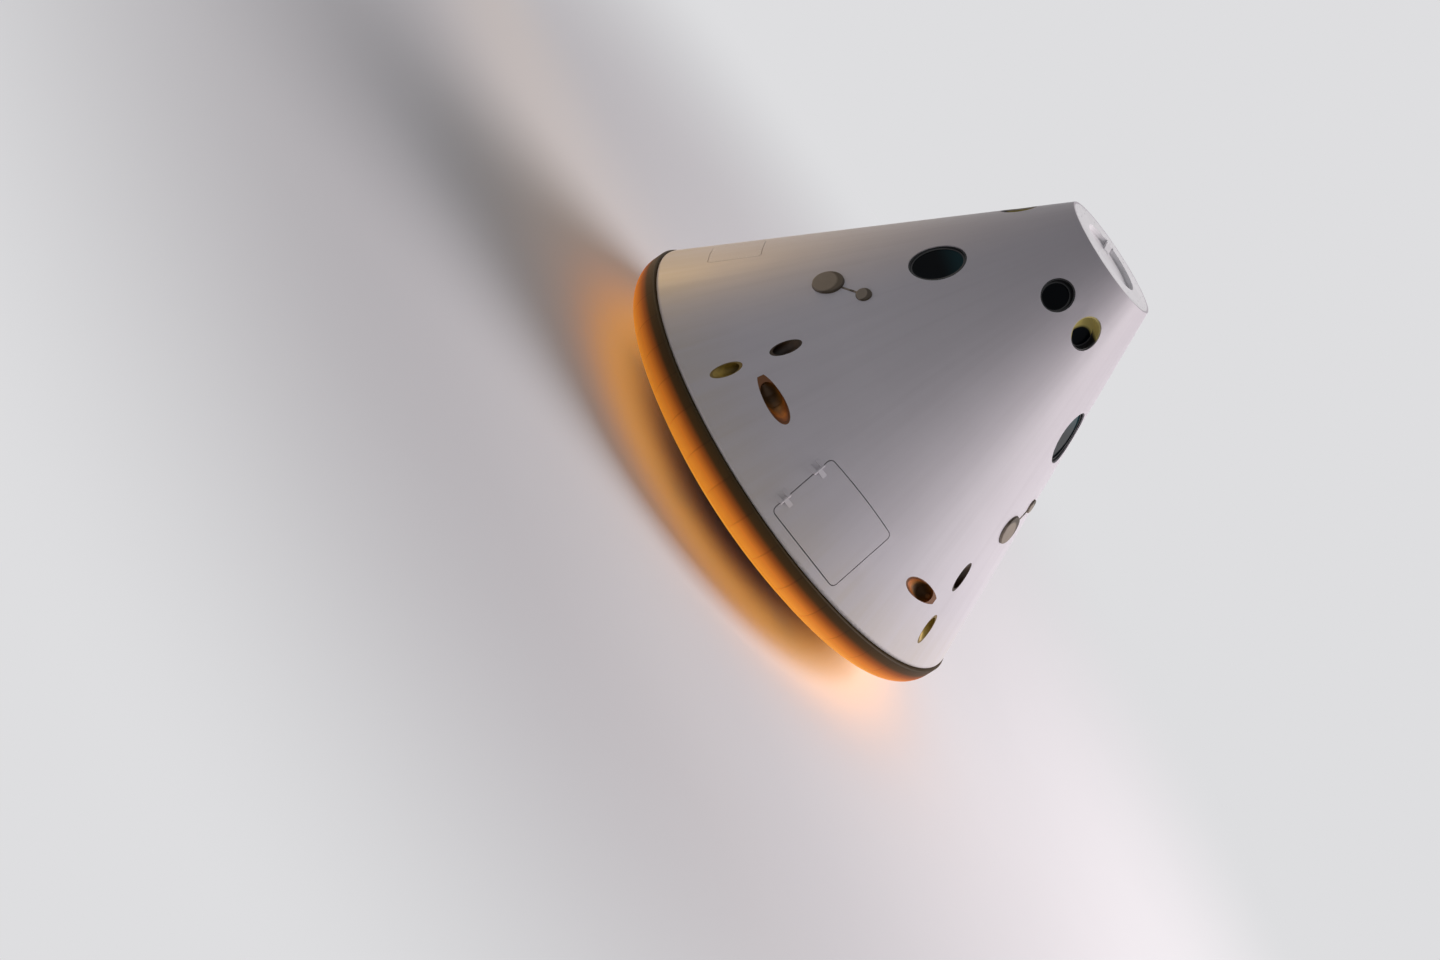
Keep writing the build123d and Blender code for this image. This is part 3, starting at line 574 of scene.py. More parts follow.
@dataclass(frozen=True)
class ScorchedAblator(Finish):
    """Phenolic ablator, cast in tiles, with painted glow and shade at its rim.

    It gives the eye bands round the shoulder, painted glow and shade over the ablator's brown,
    from a dark olive, deepened by painted shade under the cone, to a bright amber of painted glow
    at the widest part, an emission of painted glow though the rim is no lamp, and fine dark joints
    between tiles with a sandy grain.
    """

    grain_size: float = 0.02
    grain_strength: float = 0.2
    tile: float = 0.32
    tile_colours: tuple[str, str] = ("#FFFFFF", "#ECE8E2")
    tile_share: float = 0.8
    joint: float = 0.008
    joint_colour: str = "#D8CFC2"
    joint_softness: float = 0.3
    joint_strength: float = 0.12
    joint_depth: float = 0.002
    rim_tiles: float = 40.0
    specular: float = 0.2
    # Painted glow: how strongly the rim glows, though it is no lamp.
    glow: float = 0.42
    # Bands by height: painted glow and shade over the ablator's brown.
    bands: tuple[tuple[float, str], ...] = (
        (0.0, "#A85F1F"),
        (1.0, "#3E2E10"),
        (0.24, "#CF812F"),
        (0.40, "#FFCE5A"),
        (0.54, "#FBB646"),
        (0.71, "#EE9030"),
        (0.82, "#A6541A"),
        (0.90, "#553A12"),
    )
    # Painted glow: the emission colours by height.
    heat: tuple[tuple[float, str], ...] = (
        (0.20, "#000000"),
        (0.89, "#000000"),
        (0.40, "#FFB848"),
        (0.58, "#E88A26"),
        (0.76, "#A85A18"),
    )

    def shade(self, graph: Graph) -> None:
        """Lay the bands of painted glow and shade by height, the painted glow's emission and the
        tile joints round the axis.

        Args:
            graph: The material's nodes.
        """
        height = graph.climb(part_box("heat_shield")[0].z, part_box("closeout_ring")[1].z)
        rows = graph.add("Math", {0: graph.radius, 1: 1 / self.tile}, operation="MULTIPLY")
        columns = graph.add("Math", {0: graph.turn, 1: self.rim_tiles / tau}, operation="MULTIPLY")
        cell = dict.fromkeys(("Scale", "Brick Width", "Row Height"), 1.0)
        mortar = {"Mortar Size": self.joint / self.tile, "Mortar Smooth": self.joint_softness}
        colours = dict(zip(("Color1", "Color2"), self.tile_colours)) | {"Mortar": self.joint_colour}
        place = {"Vector": graph.add("CombineXYZ", {"X": columns, "Y": rows})}
        tiles = graph.add("TexBrick", place | cell | mortar | colours, offset=0.5)
        # The bands of painted glow and shade, multiplied by the tiles.
        bands = graph.add("ValToRGB", {"Fac": height}, self.bands)
        both = {"Factor": self.tile_share, "A": bands, "B": tiles}
        seams = {"Height": tiles.node.outputs["Fac"], "Normal": self.relief(graph)}
        bump = {"Strength": self.joint_strength, "Distance": self.joint_depth}
        graph.surface(
            {
                "Base Color": graph.add("Mix", both, data_type="RGBA", blend_type="MULTIPLY"),
                "Emission Color": graph.add("ValToRGB", {"Fac": height}, self.heat),
                "Emission Strength": self.glow,
                "Normal": graph.add("Bump", seams | bump, invert=True),
            }
        )


@dataclass(frozen=True)
class HeatTintAndShadeBronze(Finish):
    """Bronze-coloured alloy of the nozzles, spun and tinted by heat, with painted light and shade.

    It gives the eye brown and olive bands that follow one another from the mouth into the
    bell, lit walls painted lighter and the deep bell darkened as painted shade, with the dull gloss
    of oxide and cloudy patches of the finish's own darker colour.
    """

    bands: tuple[tuple[float, str], ...] = ()
    deepest: float = 0.10

    def shade(self, graph: Graph) -> None:
        """Lay the bands of heat tint and painted light and shade by depth under the skin, and cloud
        them.

        Args:
            graph: The material's nodes.
        """
        share = graph.add("MapRange", {"Value": graph.depth, "From Max": self.deepest})
        bands = graph.add("ValToRGB", {"Fac": share}, self.bands)
        graph.surface({"Base Color": self.clouded(graph, bands), "Normal": self.relief(graph)})


@dataclass(frozen=True)
class NozzleRims(Finish):
    """Bronze-coloured cans of the nozzles, of which the scarfed rims show.

    It gives the eye an olive rim low down, a brown one at the middle and a dark one high up:
    the same bronze, painted lighter and darker row by row as light and shade.
    """

    yaw_colour: str = "#663C16"
    fore_colour: str = "#2E1E0A"
    yaw_low: float = 0.415
    yaw_high: float = 0.605
    edge: float = 0.01

    def shade(self, graph: Graph) -> None:
        """Change the colour between the heights of the three rows.

        Args:
            graph: The material's nodes.
        """
        rise = graph.climb(graph.cone.base_z, graph.cone.base_z + 1.0)
        # Painted light and shade: the rims lighter low down and darker high up.
        stops = (
            (self.yaw_low, self.colour),
            (self.yaw_high + self.edge, self.fore_colour),
            (self.yaw_low + self.edge, self.yaw_colour),
            (self.yaw_high, self.yaw_colour),
        )
        rows = graph.add("ValToRGB", {"Fac": rise}, stops)
        graph.surface({"Base Color": rows, "Normal": self.relief(graph)})


@dataclass(frozen=True)
class MouldedComposite(Finish):
    """Glass-fibre composite of the antenna covers, moulded and painted matt.

    It gives an even grey-brown with a crescent of painted shade towards the nose, and a faint
    weave under the paint, drawn coarse enough to show.
    """

    cloud_colour: str = "#6F6557"
    cloud_size: float = 0.12
    cloud_share: float = 0.3
    # Painted shade: a dark crescent on the nose side of each cover.
    painted_crescents: tuple[PaintedCrescent, ...] = (
        PaintedCrescent(-63.8, 1.184, 0.115, (0.6, 0.8), 0.30, 0.72),
        PaintedCrescent(-54.5, 1.384, 0.059, (0.6, 0.8), 0.42, 0.74),
    )
    painted_crescent_colour: str = "#3E3324"
    grain_size: float = 0.010
    grain_strength: float = 0.08
    grain_height: float = 0.1

    def grain(self, graph: Graph) -> Socket:
        """Give the weave's height, with a thread as wide as the grain."""
        scale = 1 / self.grain_size
        return graph.add("TexChecker", {"Vector": graph.coords, "Scale": scale}, out="Fac")


# Painted glow: gold light on the nose side of one port in each pair, on its sleeve, and as a
# painted reflection in its glass.
PAINTED_GLOW_ON_SLEEVE = PaintedCrescent(15.6, 2.557, 0.128, (-0.64, 0.77), 0.62, 0.92)
PAINTED_GLOW_IN_GLASS = PaintedCrescent(15.6, 2.537, 0.128, (-0.64, 0.77), 0.62, 0.92)


@dataclass(frozen=True)
class CoatedGlass(Finish):
    """Fused silica panes with a dark coating, ground and polished.

    The windows read as black with a painted teal reflection towards the nose, and the ports as
    black with a painted gold reflection on one side.
    """

    # Painted reflection: a teal colour rising over the window's height.
    painted_reflection_colour: str = "#2B5F66"
    painted_reflection_low: float = 0.0
    painted_reflection_high: float = 1.0
    painted_reflection_start: float = 0.5
    painted_reflection_share: float = 0.35
    specular: float = 0.04

    def shade(self, graph: Graph) -> None:
        """Let the painted teal reflection rise with height and lay any painted gold reflection,
        under a low gloss.

        Args:
            graph: The material's nodes.
        """
        # Painted reflection: teal from partway up the pane to its top.
        start = self.painted_reflection_low + self.painted_reflection_start * (self.painted_reflection_high - self.painted_reflection_low)
        rise = graph.climb(
            start, self.painted_reflection_high, 0.0, self.painted_reflection_share, interpolation_type="SMOOTHSTEP"
        )
        graph.surface({"Base Color": self.layered(graph, self.colour, [(rise, self.painted_reflection_colour)])})


@dataclass(frozen=True)
class AnodisedSleeve(Finish):
    """Aluminium sleeves of the windows and ports, turned and anodised black.

    They read as black, and one port of each pair shows a painted gold glow on the side of its
    sleeve next to the nose.
    """

    cloud_colour: str = "#1D1E20"
    cloud_size: float = 0.08
    grain_size: float = 0.004
    grain_strength: float = 0.2


@dataclass(frozen=True)
class MilledAluminium(Finish):
    """Structural aluminium, milled and clear anodised.

    It gives a pale satin metal with cutter marks, drawn coarse enough to show.
    """

    cloud_colour: str = "#8C9094"
    cloud_size: float = 0.25
    grain_size: float = 0.012
    grain_strength: float = 0.06
    grain_height: float = 1 / 12
    wobble: float = 1.5

    def grain(self, graph: Graph) -> Socket:
        """Give the height of the cutter marks, which are shallow arcs."""
        waves = {"Scale": 1 / self.grain_size / tau, "Distortion": self.wobble, "Detail": 1.0}
        return graph.add("TexWave", {"Vector": graph.coords} | waves, out="Fac", wave_type="RINGS")


@dataclass(frozen=True)
class BrushedSteel(Finish):
    """Stainless steel of hinges, bolts and handles: a cloudy grey with a brushed grain."""

    cloud_colour: str = "#6F7174"
    cloud_size: float = 0.03
    grain_size: float = 0.002
    grain_strength: float = 0.12


@dataclass(frozen=True)
class WhiteEnamel(Finish):
    """White enamel on machined metal, stoved to a smooth gloss with slight handling wear."""

    cloud_colour: str = "#D6D4D6"
    cloud_size: float = 0.22
    cloud_share: float = 0.4
    grain_size: float = 0.010
    grain_strength: float = 0.04
    coat: float = 0.3
    coat_roughness: float = 0.15


@dataclass(frozen=True)
class SiliconeRubber(Finish):
    """Silicone rubber of gaskets and sealant beads, dull with a dusty bloom."""

    cloud_colour: str = "#3A3836"
    cloud_size: float = 0.04
    cloud_share: float = 0.6
    grain_size: float = 0.004
    grain_strength: float = 0.2


@dataclass(frozen=True)
class StudioFloor(Finish):
    """A plain pale floor of painted board, matt, that fades into the backdrop."""

    cloud_colour: str = "#EFEFF1"
    cloud_size: float = 3.0
    cloud_share: float = 0.3
    fade_start: float = 4.5
    fade_end: float = 11.0

    def shade(self, graph: Graph) -> None:
        """Keep the floor even near the capsule, and lay the backdrop's colour far from it.

        Args:
            graph: The material's nodes.
        """
        graph.surface({"Base Color": self.clouded(graph)})
        far = graph.add(
            "MapRange",
            {"Value": graph.radius, "From Min": self.fade_start, "From Max": self.fade_end},
            interpolation_type="SMOOTHSTEP",
        )
        share = graph.add("Math", {0: far, 1: graph.directly_seen()}, operation="MULTIPLY")
        graph.cover(graph.add("Emission", {"Color": BACKDROP, "Strength": 1.0}), share)


def bronze(name: str, cloud: str, *bands: tuple[float, str]) -> HeatTintAndShadeBronze:
    """Make a nozzle's bronze from its clouds' colour and its bands."""
    gloss = {"roughness": 0.5, "metallic": 0.3}
    return HeatTintAndShadeBronze(name, cloud, cloud_colour=cloud, bands=bands, **gloss)


# One bronze in three tones by row, lit and shaded copies: the aft row painted lit, the fore row
# painted in shade, the yaw row between.
AFT_BRONZE = bronze(
    "aft_bronze_painted_light", "#463A16", (0.0, "#A0863E"), (1.0, "#544520"), (0.35, "#AC9038")
)
FORE_BRONZE = bronze(
    "fore_bronze_painted_shade", "#0E0803", (0.0, "#3C280D"), (1.0, "#120A03"), (0.35, "#301D09")
)
YAW_STOPS = ((0.0, "#7C4420"), (1.0, "#4A3412"), (0.25, "#C4701E"), (0.6, "#8A5A1A"))
YAW_BRONZE = bronze("yaw_bronze_painted_light", "#3A2010", *YAW_STOPS)
CAN_BRONZE = NozzleRims("dull_bronze", "#75602C", 0.5, 0.3)
SHELL_PAINT = SprayedWhitePaint("white_thermal_paint", "#DAD6DB", 0.5)
ABLATOR = ScorchedAblator("scorched_ablator_painted_glow", "#C97A26", 0.62)
COVER_GREY = MouldedComposite("moulded_composite_grey", "#8A7E70", 0.6)
WINDOW_SLEEVE = AnodisedSleeve("black_anodised_sleeve", "#0C0D0F", 0.45)
# Painted gold glow on the ports' sleeves, retaining rings and screws.
PORT_SLEEVE = AnodisedSleeve(
    "black_sleeve_painted_glow", "#0A090D", 0.45, painted_crescents=(PAINTED_GLOW_ON_SLEEVE,)
)
GASKET = SiliconeRubber("grey_silicone_rubber", "#827E80", 0.6)
SEALANT = SiliconeRubber("brown_sealant", "#5A4E40", 0.6)
ALUMINIUM = MilledAluminium("milled_aluminium", "#C3C6C9", 0.36, 0.85)
STEEL = BrushedSteel("brushed_steel", "#B4B5B7", 0.3, 0.9)
ENAMEL = WhiteEnamel("white_enamel", "#F7F6F8", 0.35)
FLOOR = StudioFloor("pale_floor", "#F6F6F8", 0.8)


# Steps that every modelled piece goes through


def clear_selection() -> None:
    """Leave edit mode and deselect everything."""
    if bpy.context.mode != "OBJECT":
        bpy.ops.object.mode_set(mode="OBJECT")
    bpy.ops.object.select_all(action="DESELECT")


def activate(*pieces: Piece) -> None:
    """Select only these pieces in object mode, and make the first one active.

    Args:
        *pieces: The pieces.
    """
    clear_selection()
    for piece in pieces:
        piece.select_set(True)
    bpy.context.view_layer.objects.active = pieces[0]


def edit(piece: Piece, action: str = "DESELECT", kind: str = "FACE") -> None:
    """Enter edit mode on one piece.

    Args:
        piece: The piece.
        action: Whether all of it is selected, as SELECT or DESELECT.
        kind: What is selected, as FACE or EDGE.
    """
    activate(piece)
    bpy.ops.object.mode_set(mode="EDIT")
    bpy.ops.mesh.select_mode(type=kind)
    bpy.ops.mesh.select_all(action=action)


def pick(piece: Piece, kind: str, test: Callable[[Vector, Vector], bool]) -> None:
    """Select the faces or edges of a piece in edit mode that pass a test.

    Args:
        piece: The piece.
        kind: FACE or EDGE.
        test: Takes a face's centre and normal, or an edge's two ends.
    """
    bpy.ops.mesh.select_mode(type=kind)
    bpy.ops.mesh.select_all(action="DESELECT")
    mesh = bmesh.from_edit_mesh(piece.data)
    if kind == "FACE":
        for face in mesh.faces:
            face.select_set(test(face.calc_center_median(), face.normal))
    else:
        for edge in mesh.edges:
            edge.select_set(test(edge.verts[0].co, edge.verts[1].co))
    bmesh.update_edit_mesh(piece.data)


def extrude(rise: float) -> None:
    """Extrude what is selected along z."""
    bpy.ops.mesh.extrude_region_move(TRANSFORM_OT_translate={"value": (0, 0, rise)})


def modify(piece: Piece, kind: str, **settings: object) -> None:
    """Add a modifier to a piece and apply it.

    Args:
        piece: The piece.
        kind: Blender's name for the modifier.
        **settings: The modifier's own properties.
    """
    activate(piece)
    modifier = piece.modifiers.new(kind.title(), kind)
    for key, value in settings.items():
        setattr(modifier, key, value)
    bpy.ops.object.modifier_apply(modifier=modifier.name)


def put(piece: Piece, place: Matrix) -> Piece:
    """Move a piece's mesh to a place and leave its object at the origin.

    Args:
        piece: The piece.
        place: The place.

    Returns:
        The same piece.
    """
    clear_selection()
    piece.data.transform(place @ piece.matrix_basis)
    piece.matrix_basis = Matrix.Identity(4)
    return piece


def join(pieces: Sequence[Piece]) -> Piece:
    """Join pieces into the first of them.

    Args:
        pieces: The pieces.

    Returns:
        The first one, which holds them all.
    """
    activate(*pieces)
    bpy.ops.object.join()
    return pieces[0]


def copies(template: Piece, places: Iterable[Matrix]) -> Piece:
    """Copy a modelled piece to each place and join the copies.

    Args:
        template: The piece, modelled round the origin. It is removed.
        places: Where each copy goes.

    Returns:
        One piece that holds every copy.
    """
    clear_selection()
    made = []
    for place in places:
        twin = template.copy()
        twin.data = template.data.copy()
        twin.data.transform(place)
        bpy.context.collection.objects.link(twin)
        made.append(twin)
    bpy.data.objects.remove(template)
    return join(made)


def finish(
    piece: Piece, name: str, coat: Finish, body: Body, slot: Slot, crease: float = 35.0
) -> None:
    """Name a finished piece, smooth it, give it its finish and let it ride.

    Args:
        piece: The piece, with its place in its mesh.
        name: Its name in the table.
        coat: Its finish.
        body: The body that it moves with.
        slot: The record's material slot; not used.
        crease: Edges sharper than this many degrees stay sharp.
    """
    activate(piece)
    piece.name = name
    piece.data.name = name
    bpy.ops.object.shade_smooth_by_angle(angle=radians(crease))
    piece.data.materials.clear()
    piece.data.materials.append(coat.material())
    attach(piece, body.value)
    LOG.info("%s: %d faces, %s", name, len(piece.data.polygons), coat.name)
    clear_selection()


def spots_round(count: int, half_width: float, half_length: float, z: float) -> list[Matrix]:
    """Give evenly turned places on an oval at one height, the first half a step past its x."""
    turns = [tau * (number + 0.5) / count for number in range(count)]
    return [Matrix.Translation((half_width * cos(t), half_length * sin(t), z)) for t in turns]


# Small hardware


@dataclass(frozen=True)
class Screw:
    """A flush screw with a chamfered head and a round socket, modelled round the origin.

    The chamfer and the rim round the socket are shares of the radius, and the socket's depth is
    a multiple of what stands proud.
    """

    radius: float
    proud: float = 0.0012
    sides: int = 16
    chamfer: float = 0.14
    rim: float = 0.42
    socket: float = 1.4

    def build(self) -> Piece:
        """Model the head, with its top a little over the surface it sits in.

        Returns:
            The head.
        """
        height = 2 * self.proud
        clear_selection()
        bpy.ops.mesh.primitive_cylinder_add(
            vertices=self.sides, radius=self.radius, depth=height, end_fill_type="NGON"
        )
        head = bpy.context.active_object
        edit(head)
        pick(head, "EDGE", lambda a, b: min(a.z, b.z) > height / 4)
        bpy.ops.mesh.bevel(offset=self.radius * self.chamfer, segments=1, affect="EDGES")
        pick(head, "FACE", lambda centre, normal: normal.z > UPWARDS)
        bpy.ops.mesh.inset(thickness=self.radius * self.rim)
        extrude(-self.proud * self.socket)
        clear_selection()
        return head

    def drive(
        self, spots: Iterable[Matrix], name: str, coat: Finish, body: Body, slot: Slot
    ) -> None:
        """Set a screw in each spot and finish them as one piece."""
        finish(copies(self.build(), spots), name, coat, body, slot)


@dataclass(frozen=True)
class OvalRing:
    """A flat oval ring with rounded edges, lying on the plane z = 0."""

    length: float
    width: float
    band: float
    thickness: float
    sides: int = 96
    rounding: float = 0.2
    sharp: float = 60.0

    def build(self) -> Piece:
        """Model the ring: an oval disc, inset, opened and thickened.

        Returns:
            The ring.
        """
        clear_selection()
        bpy.ops.mesh.primitive_circle_add(vertices=self.sides, radius=1.0, fill_type="NGON")
        ring = bpy.context.active_object
        edit(ring, "SELECT")
        bpy.ops.transform.resize(value=(self.width / 2, self.length / 2, 1))
        bpy.ops.mesh.inset(thickness=self.band)
        bpy.ops.mesh.delete(type="FACE")
        modify(ring, "SOLIDIFY", thickness=self.thickness, offset=1.0)
        edge = {"width": self.thickness * self.rounding, "angle_limit": radians(self.sharp)}
        modify(ring, "BEVEL", limit_method="ANGLE", segments=2, **edge)
        return ring

    def spots(self, count: int) -> list[Matrix]:
        """Give evenly turned places along the middle of the band, on its upper face."""
        half_width, half_length = (self.width - self.band) / 2, (self.length - self.band) / 2
        return spots_round(count, half_width, half_length, self.thickness)


# Sub-assemblies


@dataclass(frozen=True)
class Openings:
    """The openings of one kind, with their clear size and the depth of the pane's outer face."""

    kind: str
    coat: Finish
    height: float
    bearings: tuple[float, ...]
    clear: tuple[float, float]
    sink: float
    screws: int


PORT_BEARINGS = tuple(middle + side * 15.6 for middle in (0.0, 120.0, 240.0) for side in (-1, 1))


@dataclass
class Glazing:
    """Retaining rings and their screws in the windows and ports."""

    cone: Cone
    kinds: tuple[Openings, ...] = (
        Openings("window", WINDOW_SLEEVE, 1.945, (-60.0, 60.0, 180.0), (0.436, 0.336), 0.030, 24),
        Openings("port", PORT_SLEEVE, 2.577, PORT_BEARINGS, (0.262, 0.233), 0.085, 16),
    )
    band: float = 0.016
    thickness: float = 0.005
    screw: Screw = Screw(0.0042, 0.0008, 12)

    def build(self) -> None:
        """Build each kind's rings as one piece, and their screws as another."""
        for openings in self.kinds:
            kind, coat = openings.kind, openings.coat
            ring = OvalRing(*openings.clear, self.band, self.thickness)
            sunk = Matrix.Translation((0, 0, -openings.sink))
            panes = [self.cone.place(b, openings.height) @ sunk for b in openings.bearings]
            rings = copies(ring.build(), panes)
            finish(rings, f"{kind}_retaining_rings", coat, Body.CAPSULE, Slot.LINER)
            spots = [pane @ spot for pane in panes for spot in ring.spots(openings.screws)]
            self.screw.drive(spots, f"{kind}_ring_screws", coat, Body.CAPSULE, Slot.LINER)


@dataclass(frozen=True)
class Cover:
    """An oval antenna cover's place on the skin and its size."""

    bearing: float
    height: float
    length: float
    width: float


@dataclass
class Antennas:
    """Sealant beads round the antenna covers."""

    cone: Cone
    covers: tuple[Cover, ...] = (
        Cover(-63.8, 1.184, 0.248, 0.230),
        Cover(-54.5, 1.384, 0.122, 0.118),
    )
    sets: int = 3
    bead: float = 0.006
    sides_round: int = 72
    sides_across: int = 8

    def build(self) -> None:
        """Build the beads of all covers as one piece."""
        turns = [number * 360 / self.sets for number in range(self.sets)]
        beads = [self.bead_round(cover, turn) for turn in turns for cover in self.covers]
        finish(join(beads), "antenna_cover_beads", SEALANT, Body.CAPSULE, Slot.COVER)

    def bead_round(self, cover: Cover, turn: float) -> Piece:
        """Model a bead that follows a cover's foot over the curved skin.

        Args:
            cover: The cover.
            turn: How far its set is turned round the axis, in degrees.

        Returns:
            The bead, in its place.
        """
        short = min(cover.length, cover.width)
        clear_selection()
        bpy.ops.mesh.primitive_torus_add(
            major_radius=1.0,
            minor_radius=self.bead / short,
            major_segments=self.sides_round,
            minor_segments=self.sides_across,
        )
        bead = bpy.context.active_object
        edit(bead, "SELECT")
        bpy.ops.transform.resize(value=(cover.width / 2, cover.length / 2, short / 2))
        clear_selection()
        place = self.cone.place(cover.bearing + turn, cover.height)
        for vertex in bead.data.vertices:
            vertex.co.z += self.cone.settle(place, vertex.co.x, vertex.co.y)
        return put(bead, place)


@dataclass
class ServicePanel:
    """Screws along the edge of the flush service panel."""

    cone: Cone
    bearing: float = -94.0
    height: float = 0.575
    width: float = 0.430
    length: float = 0.425
    inset: float = 0.018
    screws_a_side: int = 6
    screw: Screw = Screw(0.006, 0.0006)

    def build(self) -> None:
        """Build the row of screws round the panel."""
        place = self.cone.place(self.bearing, self.height)
        half_width = self.width / 2 - self.inset
        half_length = self.length / 2 - self.inset
        count = self.screws_a_side
        steps = [(number + 0.5) / count * 2 - 1 for number in range(count)]
        flat = [(half_width * step, side * half_length) for step in steps for side in (-1, 1)]
        flat += [(side * half_width, half_length * step) for step in steps for side in (-1, 1)]
        spots = [self.cone.beside(place, x, y) for x, y in flat]
        self.screw.drive(spots, "service_panel_screws", ENAMEL, Body.CAPSULE, Slot.SHELL)


@dataclass
class SideHatch:
    """Weather gasket round the side hatch, and the screws of its hinges and latch."""

    cone: Cone
    height: float = 0.380
    width: float = 0.768
    length: float = 0.595
    corner: float = 0.038
    taper: float = 10.0
    gasket: float = 0.003
    gasket_depth: float = 0.007
    gasket_tall: float = 0.009
    gasket_lip: float = 0.001
    corner_sides: int = 8
    edge_cuts: int = 24
    hinge_gap: float = 0.004
    hinge_spread: float = 0.340
    hinge_proud: float = 0.003
    hinge_row: float = 0.056
    leaf_half_pitch: float = 0.010
    base_half_pitch: float = 0.036
    hinge_screw: Screw = Screw(0.006, 0.0015)
    wall: float = 0.150
    plate_radius: float = 0.090
    plate_thickness: float = 0.018
    plate_inset: float = 0.014
    latch_screws: int = 8
    latch_screw: Screw = Screw(0.0065, 0.003)

    def build(self) -> None:
        """Build the gasket and every row of screws."""
        self.build_gasket()
        self.build_hinge_screws()
        self.build_latch_screws()

    def build_gasket(self) -> None:
        """Model the gasket: a rounded frame, thickened and laid along the plug's edge."""
        place = self.cone.place(0.0, self.height)
        clear_selection()
        bpy.ops.mesh.primitive_plane_add(size=1.0)
        gasket = bpy.context.active_object
        edit(gasket, "SELECT")
        size = (self.width + 2 * self.gasket, self.length + 2 * self.gasket, 1)
        bpy.ops.transform.resize(value=size)
        rounded = {"offset": self.corner + self.gasket, "segments": self.corner_sides}
        bpy.ops.mesh.bevel(affect="VERTICES", **rounded)
        pick(gasket, "EDGE", lambda a, b: (a - b).length > self.corner)
        bpy.ops.mesh.subdivide(number_cuts=self.edge_cuts)
        bpy.ops.mesh.select_all(action="SELECT")
        bpy.ops.mesh.inset(thickness=self.gasket + self.gasket_lip)
        bpy.ops.mesh.delete(type="FACE")
        modify(gasket, "SOLIDIFY", thickness=self.gasket_tall, offset=0.0)
        curve = self.cone.radius(self.height) / cos(self.cone.lean)
        bulge = curve - sqrt(curve**2 - (self.width / 2) ** 2)
        middle_depth = self.gasket_depth + self.gasket_tall / 2
        for vertex in gasket.data.vertices:
            x, y, rise = vertex.co
            level = self.cone.settle(place, x, y, middle_depth) + rise
            grow = (bulge + level) * tan(radians(self.taper))
            vertex.co = (x + copysign(grow, x), y + copysign(grow, y), level)
        put(gasket, place)
        finish(gasket, "side_hatch_gasket", GASKET, Body.SIDE_HATCH, Slot.STEEL)

    def build_hinge_screws(self) -> None:
        """Set screws on each hinge, in the leaf on the hatch and the base on the wall."""
        place = self.cone.place(0.0, self.height)
        edge = self.width / 2 + self.hinge_gap
        middles = (-self.hinge_spread / 2, self.hinge_spread / 2)
        for side, pitch, body, name in (
            (1, self.leaf_half_pitch, Body.SIDE_HATCH, "side_hatch_leaf_screws"),
            (-1, self.base_half_pitch, Body.CAPSULE, "side_hatch_hinge_screws"),
        ):
            spots = [
                self.cone.beside(place, side * self.hinge_row - edge, y + offset, self.hinge_proud)
                for y in middles
                for offset in (-pitch, pitch)
            ]
            self.hinge_screw.drive(spots, name, SHELL_PAINT, body, Slot.SHELL)

    def build_latch_screws(self) -> None:
        """Set a ring of cap screws on the latch plate, inside the cabin."""
        level = Matrix.Translation((0, 0, -self.wall - self.plate_thickness))
        place = self.cone.place(0.0, self.height) @ level @ Matrix.Rotation(pi, 4, "X")
        radius = self.plate_radius - self.plate_inset
        spots = [place @ spot for spot in spots_round(self.latch_screws, radius, radius, 0)]
        name = "side_hatch_latch_screws"
        self.latch_screw.drive(spots, name, STEEL, Body.SIDE_HATCH, Slot.STEEL)


@dataclass(frozen=True)
class Bell:
    """The hollow of one kind of nozzle, in the nozzle's own axes with z out along it.

    Its profile is an arc from the mouth through the waist to the throat.
    """

    radius: float
    cant: float
    throat_depth: float = 0.180
    waist_depth: float = 0.100
    waist_share: float = 0.88
    throat_share: float = 0.28
    reach: float = 0.0055

    def radius_at(self, level: float) -> float:
        """Find the radius of the hollow, from its arc and inside the bore of the wall.

        Args:
            level: Height along the nozzle's axis from the skin.

        Returns:
            The radius.
        """
        if level >= 0:
            return self.radius
        start = Vector((self.radius, 0.0))
        waist = Vector((self.waist_share * self.radius, self.waist_depth))
        end = Vector((self.throat_share * self.radius, self.throat_depth))
        centre, arc = circle_through(start, waist, end)
        hollow = centre.x + sqrt(max(arc**2 - (-level - centre.y) ** 2, 0.0))
        return min(hollow, self.radius + self.reach)


def circle_through(a: Vector, b: Vector, c: Vector) -> tuple[Vector, float]:
    """Find the circle through three points of a plane.

    Args:
        a: The first point.
        b: The second point.
        c: The third point.

    Returns:
        The circle's centre and radius.
    """
    ab = b - a
    ac = c - a
    twice = 2 * (ab.x * ac.y - ab.y * ac.x)
    x = (ac.y * ab.length_squared - ab.y * ac.length_squared) / twice
    y = (ab.x * ac.length_squared - ac.x * ab.length_squared) / twice
    offset = Vector((x, y))
    return a + offset, offset.length


